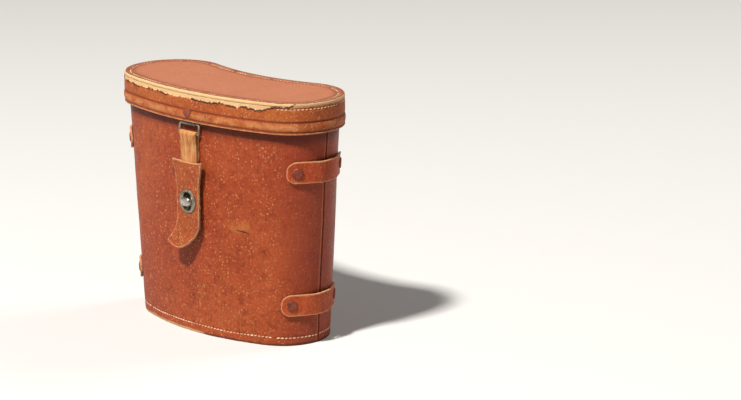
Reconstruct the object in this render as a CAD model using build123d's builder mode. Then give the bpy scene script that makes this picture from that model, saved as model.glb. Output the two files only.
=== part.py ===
from build123d import *
import os
from math import cos, sin, radians, sqrt

# Kidney-plan leather case for a pair of field glasses, with a ring-hinged lid and a turn-button strap.
# +X runs along the long axis, -Y is the front with the closure, +Y the back with the hinge, +Z is up.
# The origin is on the resting face, midway between the front and the back of the lid.
os.makedirs("parts", exist_ok=True)

# Driving dimensions, in millimetres.
TOTAL_HEIGHT = 205.0
LOBE_SPACING_BASE = 56.3    # from the middle to a lobe centre, at the base
LOBE_SPACING_MOUTH = 69.0   # the same at the mouth: the ends flare outwards
LOBE_RADIUS = 42.0          # of the lid's outline
FRONT_REACH = 52.0          # from the lobe line to the bulging front of the lid
WAIST_REACH = 31.7          # from the lobe line to the hollow back of the lid
LOBE_LINE_Y = 5.0
LID_OVERHANG = 4.25         # lid outline beyond the outside of the case
MOUTH_Z = 182.0             # top of the outer leather and the fibre shell
COLLAR_BOTTOM_Z = 158.0
COLLAR_TOP_Z = 190.0
LID_EDGE_Z = 179.5          # bottom edge of the lid

# Thicknesses of leather, fibre board and lining.
WRAP = 2.0
SHELL = 2.0
COLLAR = 2.0
LINING = 0.6
BASE_LEATHER = 2.0
BASE_BOARD = 3.0
LID_SKIN = 1.8
LID_SHELL = 1.4
TOP_LEATHER = 2.4
TOP_BOARD = 2.5

# Insets from the lid outline to each surface of the case wall.
OUTSIDE = LID_OVERHANG
UNDER_WRAP = OUTSIDE + WRAP
UNDER_SHELL = UNDER_WRAP + SHELL
UNDER_COLLAR = UNDER_SHELL + COLLAR
UNDER_LINING = UNDER_SHELL + LINING
LID_INSIDE = LID_SKIN + LID_SHELL

# Heights of the lid's layers.
TOP_LEATHER_Z = TOTAL_HEIGHT - TOP_LEATHER
TOP_BOARD_Z = TOP_LEATHER_Z - TOP_BOARD

# The flare of the ends, as a slope and as the lobe spacing at the top of the tapered blanks.
FLARE = (LOBE_SPACING_MOUTH - LOBE_SPACING_BASE) / MOUTH_Z
BLANK_TOP_Z = 200.0
LOBE_SPACING_BLANK = LOBE_SPACING_BASE + FLARE * BLANK_TOP_Z

# Rivets.
HEAD_RADIUS = 4.5
HEAD_HEIGHT = 1.3
HEAD_ROUNDING = 0.9
SHANK_RADIUS = 1.5
BURR_RADIUS = 3.4
BURR_THICKNESS = 0.8

# Strap loops on the two ends.
LOOP_HEIGHTS = {"lower": 35.0, "upper": 147.0}
LOOP_WIDTH = 18.0
LOOP_LEATHER = 1.7
LOOP_GAP = 2.5
LOOP_RIVET_ANGLE = 39.0
LOOP_END_ANGLE = 52.0
LOOP_BEND_ANGLE = 27.0
LOOP_RADIUS = LOBE_RADIUS - OUTSIDE

# Hinge: a rectangular wire ring between a strap on the case and a strap on the lid.
HINGE_WIRE = 1.2
WIRE_CLEARANCE = 0.1        # between a wire and the fold that turns on it
HINGE_LOW_Y, HINGE_LOW_Z = 37.8, 166.0
HINGE_HIGH_Y, HINGE_HIGH_Z = 38.6, 175.0
HINGE_RING_REACH = 33.5
HINGE_LEATHER = 1.8
HINGE_ROLL = HINGE_WIRE + WIRE_CLEARANCE + HINGE_LEATHER
LOW_STRAP_REACH = 28.0
LOW_STRAP_BOTTOM_Z = 143.5
HIGH_STRAP_REACH = 29.0
HINGE_RIVET_SPACING = 18.5
HIGH_RIVET_Z = 189.5
LOW_RIVET_Z = 151.5

# Closure: a wire ring under the lid, a narrow strap, a broad tab with an eyelet, and a turn button.
CLASP_WIRE = 1.0
CLASP_HIGH_Y, CLASP_HIGH_Z = -44.45, 177.75
CLASP_LOW_Y, CLASP_LOW_Z = -45.8, 169.3
CLASP_RING_REACH = 11.0
CLASP_RIVET_Z = 187.5
CHAPE_REACH = 7.5
CHAPE_THICKNESS = 1.1
CHAPE_TOP_Z = 193.5
HANGER_REACH = 9.2
HANGER_LEATHER = 1.5
HANGER_BOTTOM_Z = 127.0
TAB_LEATHER = 2.2
TAB_TOP_Z = 147.5
TAB_TOP_REACH = 15.5
TAB_REACH = 13.3
TAB_BEND_Z = 96.0
TAB_BEND_RADIUS = 44.0
TAB_BEND_ANGLE = 40.0
EYELET_Z = 113.0
EYELET_THICKNESS = 0.8
KNOB_LENGTH = 11.0
KNOB_WIDTH = 7.4
KNOB_SHANK_RADIUS = 2.2
KNOB_DEPTH = 2.8
RUNNING_FIT = 0.08
BUTTON_PLATE_THICKNESS = 1.2

FRONT_FACE_Y = LOBE_LINE_Y - FRONT_REACH
BACK_FACE_Y = LOBE_LINE_Y + WAIST_REACH


def kidney(half_spacing, inset, height):
    """The kidney outline at a height: two lobes, a bulging front and a hollow back."""
    lobe = LOBE_RADIUS - inset
    front = FRONT_REACH - inset
    waist = WAIST_REACH - inset
    front_radius = (front**2 - lobe**2 + half_spacing**2) / (2 * (front - lobe))
    waist_radius = (half_spacing**2 + waist**2 - lobe**2) / (2 * (lobe - waist))
    centre = Vector(half_spacing, LOBE_LINE_Y)
    front_tangent = centre + (centre - Vector(0, LOBE_LINE_Y + front_radius - front)).normalized() * lobe
    waist_tangent = centre + (Vector(0, LOBE_LINE_Y + waist_radius + waist) - centre).normalized() * lobe
    tip = Vector(half_spacing + lobe, LOBE_LINE_Y)
    flip = lambda point: Vector(-point.X, point.Y)
    with BuildSketch(Plane.XY.offset(height)) as outline:
        with BuildLine():
            ThreePointArc(flip(front_tangent), (0, LOBE_LINE_Y - front), front_tangent)
            ThreePointArc(front_tangent, tip, waist_tangent)
            ThreePointArc(waist_tangent, (0, LOBE_LINE_Y + waist), flip(waist_tangent))
            ThreePointArc(flip(waist_tangent), flip(tip), flip(front_tangent))
        make_face()
    return outline.sketch


def tapered_blank(inset, mode=Mode.ADD):
    """Add or cut the full-height block of the case at one inset, flaring towards the top."""
    low = kidney(LOBE_SPACING_BASE, inset, 0)
    high = kidney(LOBE_SPACING_BLANK, inset, BLANK_TOP_Z)
    loft([low, high], ruled=True, mode=mode)


def straight_block(inset, bottom, top, mode=Mode.ADD):
    """Add or cut an upright block with the lid's outline, less an inset, between two heights."""
    extrude(kidney(LOBE_SPACING_MOUTH, inset, bottom), amount=top - bottom, mode=mode)


def keep_between(bottom, top):
    """Trim the current part to a range of heights."""
    split(bisect_by=Plane.XY.offset(top), keep=Keep.BOTTOM)
    split(bisect_by=Plane.XY.offset(bottom), keep=Keep.TOP)


def tapered_wall(outer, inner, bottom, top):
    """Add one layer of the flaring case wall."""
    tapered_blank(outer)
    tapered_blank(inner, Mode.SUBTRACT)
    keep_between(bottom, top)


def save(builder, name):
    """Label a finished piece and write it as one STEP."""
    builder.part.label = name
    export_step(builder.part, f"parts/{name}.step")


def rivet(seat, grip):
    """Add one rivet: a low rounded head on the seat plane and a shank reaching back by the grip."""
    with BuildSketch(seat) as head:
        Circle(HEAD_RADIUS)
    extrude(head.sketch, amount=HEAD_HEIGHT)
    fillet(edges(Select.LAST).sort_by(Axis(seat.origin, seat.z_dir))[-1], HEAD_ROUNDING)
    with BuildSketch(seat) as shank:
        Circle(SHANK_RADIUS)
    extrude(shank.sketch, amount=-grip)


def burr(seat, grip):
    """Add the washer that a rivet is closed over, at the far end of its grip."""
    with BuildSketch(seat.offset(BURR_THICKNESS - grip)) as washer:
        Circle(BURR_RADIUS)
        Circle(SHANK_RADIUS, mode=Mode.SUBTRACT)
    extrude(washer.sketch, amount=-BURR_THICKNESS)


def wire_ring(low_y, low_z, high_y, high_z, reach, radius):
    """Add a rectangular ring of round wire with its two long bars along X."""
    corner = 2.2 * radius
    middle = Vector(0, (low_y + high_y) / 2, (low_z + high_z) / 2)
    upwards = Vector(0, high_y - low_y, high_z - low_z)
    across = Vector(1, 0, 0)
    ring_plane = Plane(origin=middle, x_dir=across, z_dir=across.cross(upwards))
    half = upwards.length / 2
    with BuildLine(ring_plane) as loop:
        FilletPolyline((-reach, -half), (reach, -half), (reach, half), (-reach, half),
                       radius=corner, close=True)
    with BuildSketch(Plane(origin=loop.line @ 0, z_dir=loop.line % 0)) as section:
        Circle(radius)
    sweep(section.sketch, path=loop.line)


# ------------------------------------------------------------------ rivets and burrs of the loops
def loop_seats():
    """Planes on the outside of the loops at the eight rivets, facing outwards."""
    seats = []
    for height in LOOP_HEIGHTS.values():
        lobe_x = LOBE_SPACING_BASE + FLARE * height
        for side in (-1, 1):
            for angle in (-LOOP_RIVET_ANGLE, LOOP_RIVET_ANGLE):
                outwards = Vector(side * cos(radians(angle)), sin(radians(angle)), -FLARE * cos(radians(angle)))
                reach = LOOP_RADIUS + LOOP_LEATHER - 0.25
                origin = Vector(side * (lobe_x + reach * cos(radians(angle))),
                                LOBE_LINE_Y + reach * sin(radians(angle)), height)
                seats.append(Plane(origin=origin, z_dir=outwards))
    return seats


LOOP_GRIP = LOOP_LEATHER + WRAP + SHELL + BURR_THICKNESS + 0.1

with BuildPart() as loop_rivets:
    for seat in loop_seats():
        rivet(seat, LOOP_GRIP)
save(loop_rivets, "loop_rivets")

with BuildPart() as loop_burrs:
    for seat in loop_seats():
        burr(seat, LOOP_GRIP)
save(loop_burrs, "loop_burrs")

# ------------------------------------------------------------------ rivets of the hinge straps
HINGE_RIVET_XS = [-HINGE_RIVET_SPACING, 0.0, HINGE_RIVET_SPACING]
HIGH_STRAP_LEATHER = 2.0
LOW_SEAT_Y = HINGE_LOW_Y + 2.3
BURR_SETTLE = 0.6


def waist_radius_at(half_spacing, inset):
    """Radius of the hollow back at one inset from the lid's outline."""
    lobe, waist = LOBE_RADIUS - inset, WAIST_REACH - inset
    return (half_spacing**2 + waist**2 - lobe**2) / (2 * (lobe - waist))


def back_y(x, half_spacing, inset):
    """Height of the hollow back along Y, at a place across it."""
    radius = waist_radius_at(half_spacing, inset)
    return BACK_FACE_Y - inset + radius - sqrt(radius**2 - x**2)


def low_hinge_rivets():
    """Seat plane and grip of each rivet of the case's hinge strap."""
    half_spacing = LOBE_SPACING_BASE + FLARE * LOW_RIVET_Z
    for x in HINGE_RIVET_XS:
        seat = Plane(origin=(x, LOW_SEAT_Y, LOW_RIVET_Z), x_dir=(-1, 0, 0), z_dir=(0, 1, 0))
        yield seat, LOW_SEAT_Y - back_y(x, half_spacing, UNDER_SHELL) + BURR_THICKNESS + BURR_SETTLE


def high_hinge_rivets():
    """Seat plane and grip of each rivet of the lid's hinge strap, square to the hollow back."""
    stand = HIGH_STRAP_LEATHER + 0.1
    radius = waist_radius_at(LOBE_SPACING_MOUTH, -stand)
    for x in HINGE_RIVET_XS:
        origin = (x, back_y(x, LOBE_SPACING_MOUTH, -stand), HIGH_RIVET_Z)
        seat = Plane(origin=origin, x_dir=(-radius, -x, 0), z_dir=(-x, radius, 0))
        yield seat, stand + LID_INSIDE + BURR_THICKNESS


with BuildPart() as hinge_case_rivets:
    for seat, grip in low_hinge_rivets():
        rivet(seat, grip)
save(hinge_case_rivets, "hinge_case_rivets")

with BuildPart() as hinge_case_burrs:
    for seat, grip in low_hinge_rivets():
        burr(seat, grip)
save(hinge_case_burrs, "hinge_case_burrs")

with BuildPart() as hinge_lid_rivets:
    for seat, grip in high_hinge_rivets():
        rivet(seat, grip)
save(hinge_lid_rivets, "hinge_lid_rivets")

with BuildPart() as hinge_lid_burrs:
    for seat, grip in high_hinge_rivets():
        burr(seat, grip)
save(hinge_lid_burrs, "hinge_lid_burrs")

# ------------------------------------------------------------------ turn button
PLATE_BACK_Y = FRONT_FACE_Y + OUTSIDE
PLATE_FRONT_Y = PLATE_BACK_Y - BUTTON_PLATE_THICKNESS
SHELL_INNER_Y = FRONT_FACE_Y + UNDER_SHELL
TAB_BACK_Y = CLASP_LOW_Y - 0.6
TAB_FRONT_Y = TAB_BACK_Y - TAB_LEATHER
EYELET_FRONT_Y = TAB_FRONT_Y - EYELET_THICKNESS
KNOB_BACK_Y = EYELET_FRONT_Y - 0.4
KNOB_FRONT_Y = KNOB_BACK_Y - KNOB_DEPTH
BUTTON_WASHER_THICKNESS = 0.8
BUTTON_WASHER_STAND = 0.15
PLATE_PIN_OFFSET = 8.4
PLATE_PIN_RADIUS = 1.0
PLATE_PIN_HEAD = 1.7
button_axis = Plane(origin=(0, 0, EYELET_Z), x_dir=(1, 0, 0), z_dir=(0, -1, 0))

with BuildPart() as turn_button_knob:
    with BuildSketch(button_axis.offset(-KNOB_BACK_Y)):
        SlotOverall(KNOB_LENGTH, KNOB_WIDTH)
    extrude(amount=KNOB_BACK_Y - KNOB_FRONT_Y)
    fillet(faces().sort_by(Axis.Y)[0].edges(), 1.5)
    with BuildSketch(button_axis.offset(-KNOB_BACK_Y)):
        Circle(KNOB_SHANK_RADIUS)
    extrude(amount=KNOB_BACK_Y - SHELL_INNER_Y - BUTTON_WASHER_THICKNESS - 0.7)
    with BuildSketch(button_axis.offset(-SHELL_INNER_Y - BUTTON_WASHER_THICKNESS - 0.1)):
        Circle(KNOB_SHANK_RADIUS + 1.0)
    extrude(amount=-0.6)
save(turn_button_knob, "turn_button_knob")

with BuildPart() as turn_button_plate:
    with BuildSketch(button_axis.offset(-PLATE_BACK_Y)):
        Ellipse(7.5, 12.0)
        Circle(KNOB_SHANK_RADIUS + RUNNING_FIT, mode=Mode.SUBTRACT)
        with Locations((0, -PLATE_PIN_OFFSET), (0, PLATE_PIN_OFFSET)):
            Circle(PLATE_PIN_RADIUS, mode=Mode.SUBTRACT)
    extrude(amount=BUTTON_PLATE_THICKNESS)
    fillet(faces().sort_by(Axis.Y)[0].outer_wire().edges(), 0.4)
save(turn_button_plate, "turn_button_plate")

with BuildPart() as turn_button_pins:
    with BuildSketch(button_axis.offset(-PLATE_FRONT_Y)):
        with Locations((0, -PLATE_PIN_OFFSET), (0, PLATE_PIN_OFFSET)):
            Circle(PLATE_PIN_HEAD)
    extrude(amount=0.5)
    with BuildSketch(button_axis.offset(-PLATE_FRONT_Y)):
        with Locations((0, -PLATE_PIN_OFFSET), (0, PLATE_PIN_OFFSET)):
            Circle(PLATE_PIN_RADIUS)
    extrude(amount=PLATE_FRONT_Y - SHELL_INNER_Y)
save(turn_button_pins, "turn_button_pins")

with BuildPart() as turn_button_washer:
    with BuildSketch(button_axis.offset(-SHELL_INNER_Y - BUTTON_WASHER_STAND)):
        Circle(4.2)
        Circle(KNOB_SHANK_RADIUS + RUNNING_FIT, mode=Mode.SUBTRACT)
    extrude(amount=BUTTON_WASHER_STAND - BUTTON_WASHER_THICKNESS)
save(turn_button_washer, "turn_button_washer")


def knob_bore(radius):
    """Cut a clear hole through the front wall for the turn button's shank."""
    with BuildSketch(button_axis.offset(-PLATE_BACK_Y)) as hole:
        Circle(radius)
    extrude(hole.sketch, amount=PLATE_BACK_Y - SHELL_INNER_Y - 2.5, mode=Mode.SUBTRACT)


# ------------------------------------------------------------------ case wall
NOTCH_REACH = 14.0
NOTCH_BOTTOM_Z = 175.6
HOLLOW_REACH = 11.5
HOLLOW_BOTTOM_Z = 168.0
HOLLOW_DEPTH = 0.6
SEAM_GAP = 0.5

with BuildPart() as body_leather:
    tapered_wall(OUTSIDE, UNDER_WRAP, 0, MOUTH_Z)
    with Locations((LOBE_SPACING_MOUTH + LOBE_RADIUS, LOBE_LINE_Y, 0)):
        Box(60, SEAM_GAP, MOUTH_Z, align=(Align.CENTER, Align.CENTER, Align.MIN), mode=Mode.SUBTRACT)
    with Locations((0, FRONT_FACE_Y, NOTCH_BOTTOM_Z)):
        Box(2 * NOTCH_REACH, 20, 20, align=(Align.CENTER, Align.CENTER, Align.MIN), mode=Mode.SUBTRACT)
    with Locations((0, PLATE_BACK_Y, HOLLOW_BOTTOM_Z)):
        Box(2 * HOLLOW_REACH, 2 * HOLLOW_DEPTH, 20, align=(Align.CENTER, Align.CENTER, Align.MIN),
            mode=Mode.SUBTRACT)
    add(loop_rivets.part, mode=Mode.SUBTRACT)
    add(hinge_case_rivets.part, mode=Mode.SUBTRACT)
    add(turn_button_pins.part, mode=Mode.SUBTRACT)
    knob_bore(KNOB_SHANK_RADIUS + RUNNING_FIT)
save(body_leather, "body_leather")

with BuildPart() as body_shell:
    tapered_wall(UNDER_WRAP, UNDER_SHELL, BASE_LEATHER, MOUTH_Z)
    add(loop_rivets.part, mode=Mode.SUBTRACT)
    add(hinge_case_rivets.part, mode=Mode.SUBTRACT)
    add(turn_button_pins.part, mode=Mode.SUBTRACT)
    knob_bore(KNOB_SHANK_RADIUS + RUNNING_FIT)
save(body_shell, "body_shell")

BASE_INSIDE_Z = BASE_LEATHER + BASE_BOARD
BURR_CLEARANCE = 0.4


def burr_clearances():
    """Cut round clearances in the lining and the collar for everything that ends inside the case."""
    for seat in loop_seats():
        with BuildSketch(seat.offset(2.0 - LOOP_GRIP)) as hole:
            Circle(BURR_RADIUS + BURR_CLEARANCE)
        extrude(hole.sketch, amount=-6, mode=Mode.SUBTRACT)
    for seat, grip in low_hinge_rivets():
        with BuildSketch(seat.offset(1.5 - grip)) as hole:
            Circle(BURR_RADIUS + BURR_CLEARANCE)
        extrude(hole.sketch, amount=-6, mode=Mode.SUBTRACT)
    knob_bore(4.8)


with BuildPart() as body_lining:
    tapered_wall(UNDER_SHELL, UNDER_LINING, BASE_INSIDE_Z, COLLAR_BOTTOM_Z)
    burr_clearances()
save(body_lining, "body_lining")

with BuildPart() as body_collar:
    tapered_wall(UNDER_SHELL, UNDER_COLLAR, COLLAR_BOTTOM_Z, COLLAR_TOP_Z)
    burr_clearances()
save(body_collar, "body_collar")

with BuildPart() as base_leather:
    tapered_blank(UNDER_WRAP)
    keep_between(0, BASE_LEATHER)
save(base_leather, "base_leather")

with BuildPart() as base_board:
    tapered_blank(UNDER_SHELL)
    keep_between(BASE_LEATHER, BASE_INSIDE_Z)
save(base_board, "base_board")

with BuildPart() as base_lining:
    tapered_blank(UNDER_LINING)
    keep_between(BASE_INSIDE_Z, BASE_INSIDE_Z + LINING)
save(base_lining, "base_lining")

# ------------------------------------------------------------------ strap loops
def arc_point(radius, angle):
    """A point on a circle about the lobe centre."""
    return Vector(radius * cos(radians(angle)), radius * sin(radians(angle)))


def strap_loop(name, side, height):
    """One keeper strap: riveted flat at both ends and standing off the end of the case between them."""
    inner, outer = LOOP_RADIUS, LOOP_RADIUS + LOOP_LEATHER
    end, bend = LOOP_END_ANGLE, LOOP_BEND_ANGLE
    bottom = height - LOOP_WIDTH / 2
    base = Plane.XY.offset(bottom)
    base = base.shift_origin((LOBE_SPACING_BASE + FLARE * bottom, LOBE_LINE_Y, bottom))
    with BuildPart() as strap:
        with BuildSketch(base):
            with BuildLine():
                for radius in (inner, outer):
                    ThreePointArc(arc_point(radius, -end), arc_point(radius, -(end + bend) / 2),
                                  arc_point(radius, -bend))
                    ThreePointArc(arc_point(radius, -bend), arc_point(radius + LOOP_GAP, 0),
                                  arc_point(radius, bend))
                    ThreePointArc(arc_point(radius, bend), arc_point(radius, (end + bend) / 2),
                                  arc_point(radius, end))
                for angle in (-end, end):
                    Line(arc_point(inner, angle), arc_point(outer, angle))
            make_face()
        extrude(amount=LOOP_WIDTH, dir=(FLARE, 0, 1))
        corners = edges().filter_by(GeomType.LINE).filter_by(lambda edge: edge.length < 1.5 * LOOP_LEATHER)
        fillet(corners, 0.44 * LOOP_WIDTH)
        if side < 0:
            mirror(about=Plane.YZ, mode=Mode.REPLACE)
        add(loop_rivets.part, mode=Mode.SUBTRACT)
    save(strap, name)


for side, side_name in ((-1, "left"), (1, "right")):
    for level, height in LOOP_HEIGHTS.items():
        strap_loop(f"loop_{level}_{side_name}", side, height)

# ------------------------------------------------------------------ hinge
with BuildPart() as hinge_ring:
    wire_ring(HINGE_LOW_Y, HINGE_LOW_Z, HINGE_HIGH_Y, HINGE_HIGH_Z, HINGE_RING_REACH, HINGE_WIRE)
save(hinge_ring, "hinge_ring")

LOW_STRAP_BACK_Y = HINGE_LOW_Y - HINGE_ROLL
LOW_STRAP_FRONT_Y = LOW_STRAP_BACK_Y + 2 * HINGE_LEATHER
LOW_STRAP_TAPER_Z = HINGE_LOW_Z - 8.0
PATCH_LEATHER = 1.8
across_case = Plane(origin=(-LOW_STRAP_REACH, 0, 0), x_dir=(0, 1, 0), z_dir=(1, 0, 0))

with BuildPart() as hinge_low_strap:
    with BuildSketch(across_case):
        with BuildLine():
            Polyline((LOW_STRAP_BACK_Y, HINGE_LOW_Z), (LOW_STRAP_BACK_Y, LOW_STRAP_BOTTOM_Z),
                     (LOW_STRAP_FRONT_Y, LOW_STRAP_BOTTOM_Z), (LOW_STRAP_FRONT_Y, LOW_STRAP_TAPER_Z),
                     (HINGE_LOW_Y + HINGE_ROLL, HINGE_LOW_Z))
            ThreePointArc((HINGE_LOW_Y + HINGE_ROLL, HINGE_LOW_Z), (HINGE_LOW_Y, HINGE_LOW_Z + HINGE_ROLL),
                          (LOW_STRAP_BACK_Y, HINGE_LOW_Z))
        make_face()
        with Locations((HINGE_LOW_Y, HINGE_LOW_Z)):
            Circle(HINGE_WIRE + WIRE_CLEARANCE, mode=Mode.SUBTRACT)
    extrude(amount=2 * LOW_STRAP_REACH)
    add(hinge_case_rivets.part, mode=Mode.SUBTRACT)
save(hinge_low_strap, "hinge_low_strap")

with BuildPart() as hinge_low_patch:
    with BuildSketch(across_case):
        with BuildLine():
            Polyline((LOW_STRAP_FRONT_Y, LOW_STRAP_BOTTOM_Z - 0.5), (LOW_STRAP_FRONT_Y, LOW_STRAP_TAPER_Z),
                     (HINGE_LOW_Y + HINGE_ROLL, HINGE_LOW_Z),
                     (HINGE_LOW_Y + HINGE_ROLL + PATCH_LEATHER, HINGE_LOW_Z),
                     (LOW_STRAP_FRONT_Y + PATCH_LEATHER, LOW_STRAP_TAPER_Z - 0.6),
                     (LOW_STRAP_FRONT_Y + PATCH_LEATHER, LOW_STRAP_BOTTOM_Z - 0.5), close=True)
        make_face()
    extrude(amount=2 * LOW_STRAP_REACH)
    add(hinge_case_rivets.part, mode=Mode.SUBTRACT)
save(hinge_low_patch, "hinge_low_patch")

HIGH_STRAP_BEND_Z = 184.0
HIGH_ROLL_FRONT_Y = HINGE_HIGH_Y + HINGE_ROLL
across_lid = Plane(origin=(-HIGH_STRAP_REACH, 0, 0), x_dir=(0, 1, 0), z_dir=(1, 0, 0))


def waist_sheet(near, far, height):
    """The plan of a leather sheet that follows the hollow back of the lid, at a height."""
    with BuildSketch(Plane.XY.offset(height)) as plan:
        add(kidney(LOBE_SPACING_MOUTH, -far, height))
        add(kidney(LOBE_SPACING_MOUTH, -near, height), mode=Mode.SUBTRACT)
        with Locations((0, BACK_FACE_Y)):
            Rectangle(2 * HIGH_STRAP_REACH, 30, mode=Mode.INTERSECT)
    return plan.sketch


with BuildPart() as hinge_high_strap:
    sheet = waist_sheet(0, HIGH_STRAP_LEATHER, HIGH_STRAP_BEND_Z)
    extrude(sheet, amount=TOP_LEATHER_Z - 0.2 - HIGH_STRAP_BEND_Z)
    with BuildSketch(Plane.XY.offset(HINGE_HIGH_Z), mode=Mode.PRIVATE) as straight_end:
        with Locations((0, HIGH_ROLL_FRONT_Y - HIGH_STRAP_LEATHER / 2)):
            Rectangle(2 * HIGH_STRAP_REACH, HIGH_STRAP_LEATHER)
    loft([straight_end.sketch, sheet], ruled=True)
    with BuildSketch(across_lid):
        with Locations((HINGE_HIGH_Y, HINGE_HIGH_Z)):
            Circle(HINGE_ROLL)
    extrude(amount=2 * HIGH_STRAP_REACH)
    with BuildSketch(across_lid):
        with Locations((HINGE_HIGH_Y, HINGE_HIGH_Z)):
            Circle(HINGE_WIRE + WIRE_CLEARANCE)
    extrude(amount=2 * HIGH_STRAP_REACH, mode=Mode.SUBTRACT)
    add(hinge_lid_rivets.part, mode=Mode.SUBTRACT)
save(hinge_high_strap, "hinge_high_strap")

# ------------------------------------------------------------------ clasp rivet and chape
clasp_seat = Plane(origin=(0, FRONT_FACE_Y, CLASP_RIVET_Z), x_dir=(1, 0, 0), z_dir=(0, -1, 0))
CLASP_GRIP = LID_INSIDE + BURR_THICKNESS

with BuildPart() as clasp_rivet:
    rivet(clasp_seat, CLASP_GRIP)
save(clasp_rivet, "clasp_rivet")

with BuildPart() as clasp_burr:
    burr(clasp_seat, CLASP_GRIP)
save(clasp_burr, "clasp_burr")

CHAPE_ROLL = CLASP_WIRE + WIRE_CLEARANCE + 0.6
across_chape = Plane(origin=(-CHAPE_REACH, 0, 0), x_dir=(0, 1, 0), z_dir=(1, 0, 0))

with BuildPart() as clasp_chape:
    with BuildSketch(across_chape):
        with Locations((CLASP_HIGH_Y, CLASP_HIGH_Z)):
            Circle(CHAPE_ROLL)
        with Locations((CLASP_HIGH_Y, CLASP_HIGH_Z)):
            Rectangle(CHAPE_THICKNESS, CHAPE_TOP_Z - CLASP_HIGH_Z, align=(Align.CENTER, Align.MIN))
        with Locations((CLASP_HIGH_Y, CLASP_HIGH_Z)):
            Circle(CLASP_WIRE + WIRE_CLEARANCE, mode=Mode.SUBTRACT)
    extrude(amount=2 * CHAPE_REACH)
    add(clasp_rivet.part, mode=Mode.SUBTRACT)
save(clasp_chape, "clasp_chape")

# ------------------------------------------------------------------ lid
GROOVE_DEPTH = 0.7
GROOVE_WIDTH = 1.3
BAND_GROOVES_Z = [189.4, 181.3]
RIM_STITCH_INSET = 5.5
STITCH_GROOVE_DEPTH = 0.35
SHELL_EDGE_Z = LID_EDGE_Z + 0.8


def ring_cut(outer, inner, bottom, top):
    """Cut a groove that follows the lid's outline, between two insets and two heights."""
    plan = kidney(LOBE_SPACING_MOUTH, outer, bottom) - kidney(LOBE_SPACING_MOUTH, inner, bottom)
    extrude(plan, amount=top - bottom, mode=Mode.SUBTRACT)


with BuildPart() as lid_band_leather:
    straight_block(0, LID_EDGE_Z, TOP_LEATHER_Z)
    straight_block(LID_SKIN, LID_EDGE_Z, TOP_LEATHER_Z, Mode.SUBTRACT)
    for groove_z in BAND_GROOVES_Z:
        ring_cut(-1, GROOVE_DEPTH, groove_z - GROOVE_WIDTH / 2, groove_z + GROOVE_WIDTH / 2)
    add(clasp_rivet.part, mode=Mode.SUBTRACT)
    add(hinge_lid_rivets.part, mode=Mode.SUBTRACT)
save(lid_band_leather, "lid_band_leather")

with BuildPart() as lid_band_shell:
    straight_block(LID_SKIN, SHELL_EDGE_Z, TOP_BOARD_Z)
    straight_block(LID_INSIDE, SHELL_EDGE_Z, TOP_BOARD_Z, Mode.SUBTRACT)
    with Locations((0, FRONT_FACE_Y + LID_SKIN, CLASP_HIGH_Z)):
        Box(2 * CHAPE_REACH, 4 * LID_SHELL, CHAPE_TOP_Z - CLASP_HIGH_Z,
            align=(Align.CENTER, Align.CENTER, Align.MIN), mode=Mode.SUBTRACT)
    add(hinge_lid_rivets.part, mode=Mode.SUBTRACT)
save(lid_band_shell, "lid_band_shell")

with BuildPart() as lid_top_leather:
    straight_block(0, TOP_LEATHER_Z, TOTAL_HEIGHT)
    fillet(faces().sort_by(Axis.Z)[-1].edges(), 0.9)
    ring_cut(RIM_STITCH_INSET - 0.6, RIM_STITCH_INSET + 0.6, TOTAL_HEIGHT - STITCH_GROOVE_DEPTH, TOTAL_HEIGHT)
save(lid_top_leather, "lid_top_leather")

with BuildPart() as lid_top_board:
    straight_block(LID_SKIN, TOP_BOARD_Z, TOP_LEATHER_Z)
save(lid_top_board, "lid_top_board")

with BuildPart() as lid_lining:
    straight_block(LID_INSIDE, TOP_BOARD_Z - LINING, TOP_BOARD_Z)
save(lid_lining, "lid_lining")

# ------------------------------------------------------------------ closure
with BuildPart() as clasp_ring:
    wire_ring(CLASP_LOW_Y, CLASP_LOW_Z, CLASP_HIGH_Y, CLASP_HIGH_Z, CLASP_RING_REACH, CLASP_WIRE)
save(clasp_ring, "clasp_ring")

HANGER_ROLL = CLASP_WIRE + WIRE_CLEARANCE + HANGER_LEATHER
HANGER_BACK_Y = CLASP_LOW_Y + HANGER_ROLL
HANGER_TAPER_Z = CLASP_LOW_Z - 9.0
across_hanger = Plane(origin=(-HANGER_REACH, 0, 0), x_dir=(0, 1, 0), z_dir=(1, 0, 0))

with BuildPart() as strap_hanger:
    with BuildSketch(across_hanger):
        with BuildLine():
            Polyline((CLASP_LOW_Y - HANGER_ROLL, CLASP_LOW_Z), (TAB_BACK_Y, HANGER_TAPER_Z),
                     (TAB_BACK_Y, HANGER_BOTTOM_Z), (HANGER_BACK_Y, HANGER_BOTTOM_Z),
                     (HANGER_BACK_Y, CLASP_LOW_Z))
            ThreePointArc((HANGER_BACK_Y, CLASP_LOW_Z), (CLASP_LOW_Y, CLASP_LOW_Z + HANGER_ROLL),
                          (CLASP_LOW_Y - HANGER_ROLL, CLASP_LOW_Z))
        make_face()
        with Locations((CLASP_LOW_Y, CLASP_LOW_Z)):
            Circle(CLASP_WIRE + WIRE_CLEARANCE, mode=Mode.SUBTRACT)
    extrude(amount=2 * HANGER_REACH)
save(strap_hanger, "strap_hanger")

# The tab hangs straight down to the bend and then curls away from the case.
BEND_CENTRE_Y = TAB_BACK_Y - TAB_BEND_RADIUS
INNER_BEND = TAB_BEND_RADIUS - TAB_LEATHER
EYELET_REACH_X, EYELET_REACH_Z = 9.0, 9.9
OPENING_WIDTH, OPENING_HEIGHT = 9.3, 15.6
EYELET_BARREL = 0.4


def bend_point(radius, angle):
    """A point on the curl of the tab, at an angle below the start of the bend."""
    return (BEND_CENTRE_Y + radius * cos(radians(angle)), TAB_BEND_Z - radius * sin(radians(angle)))


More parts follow.
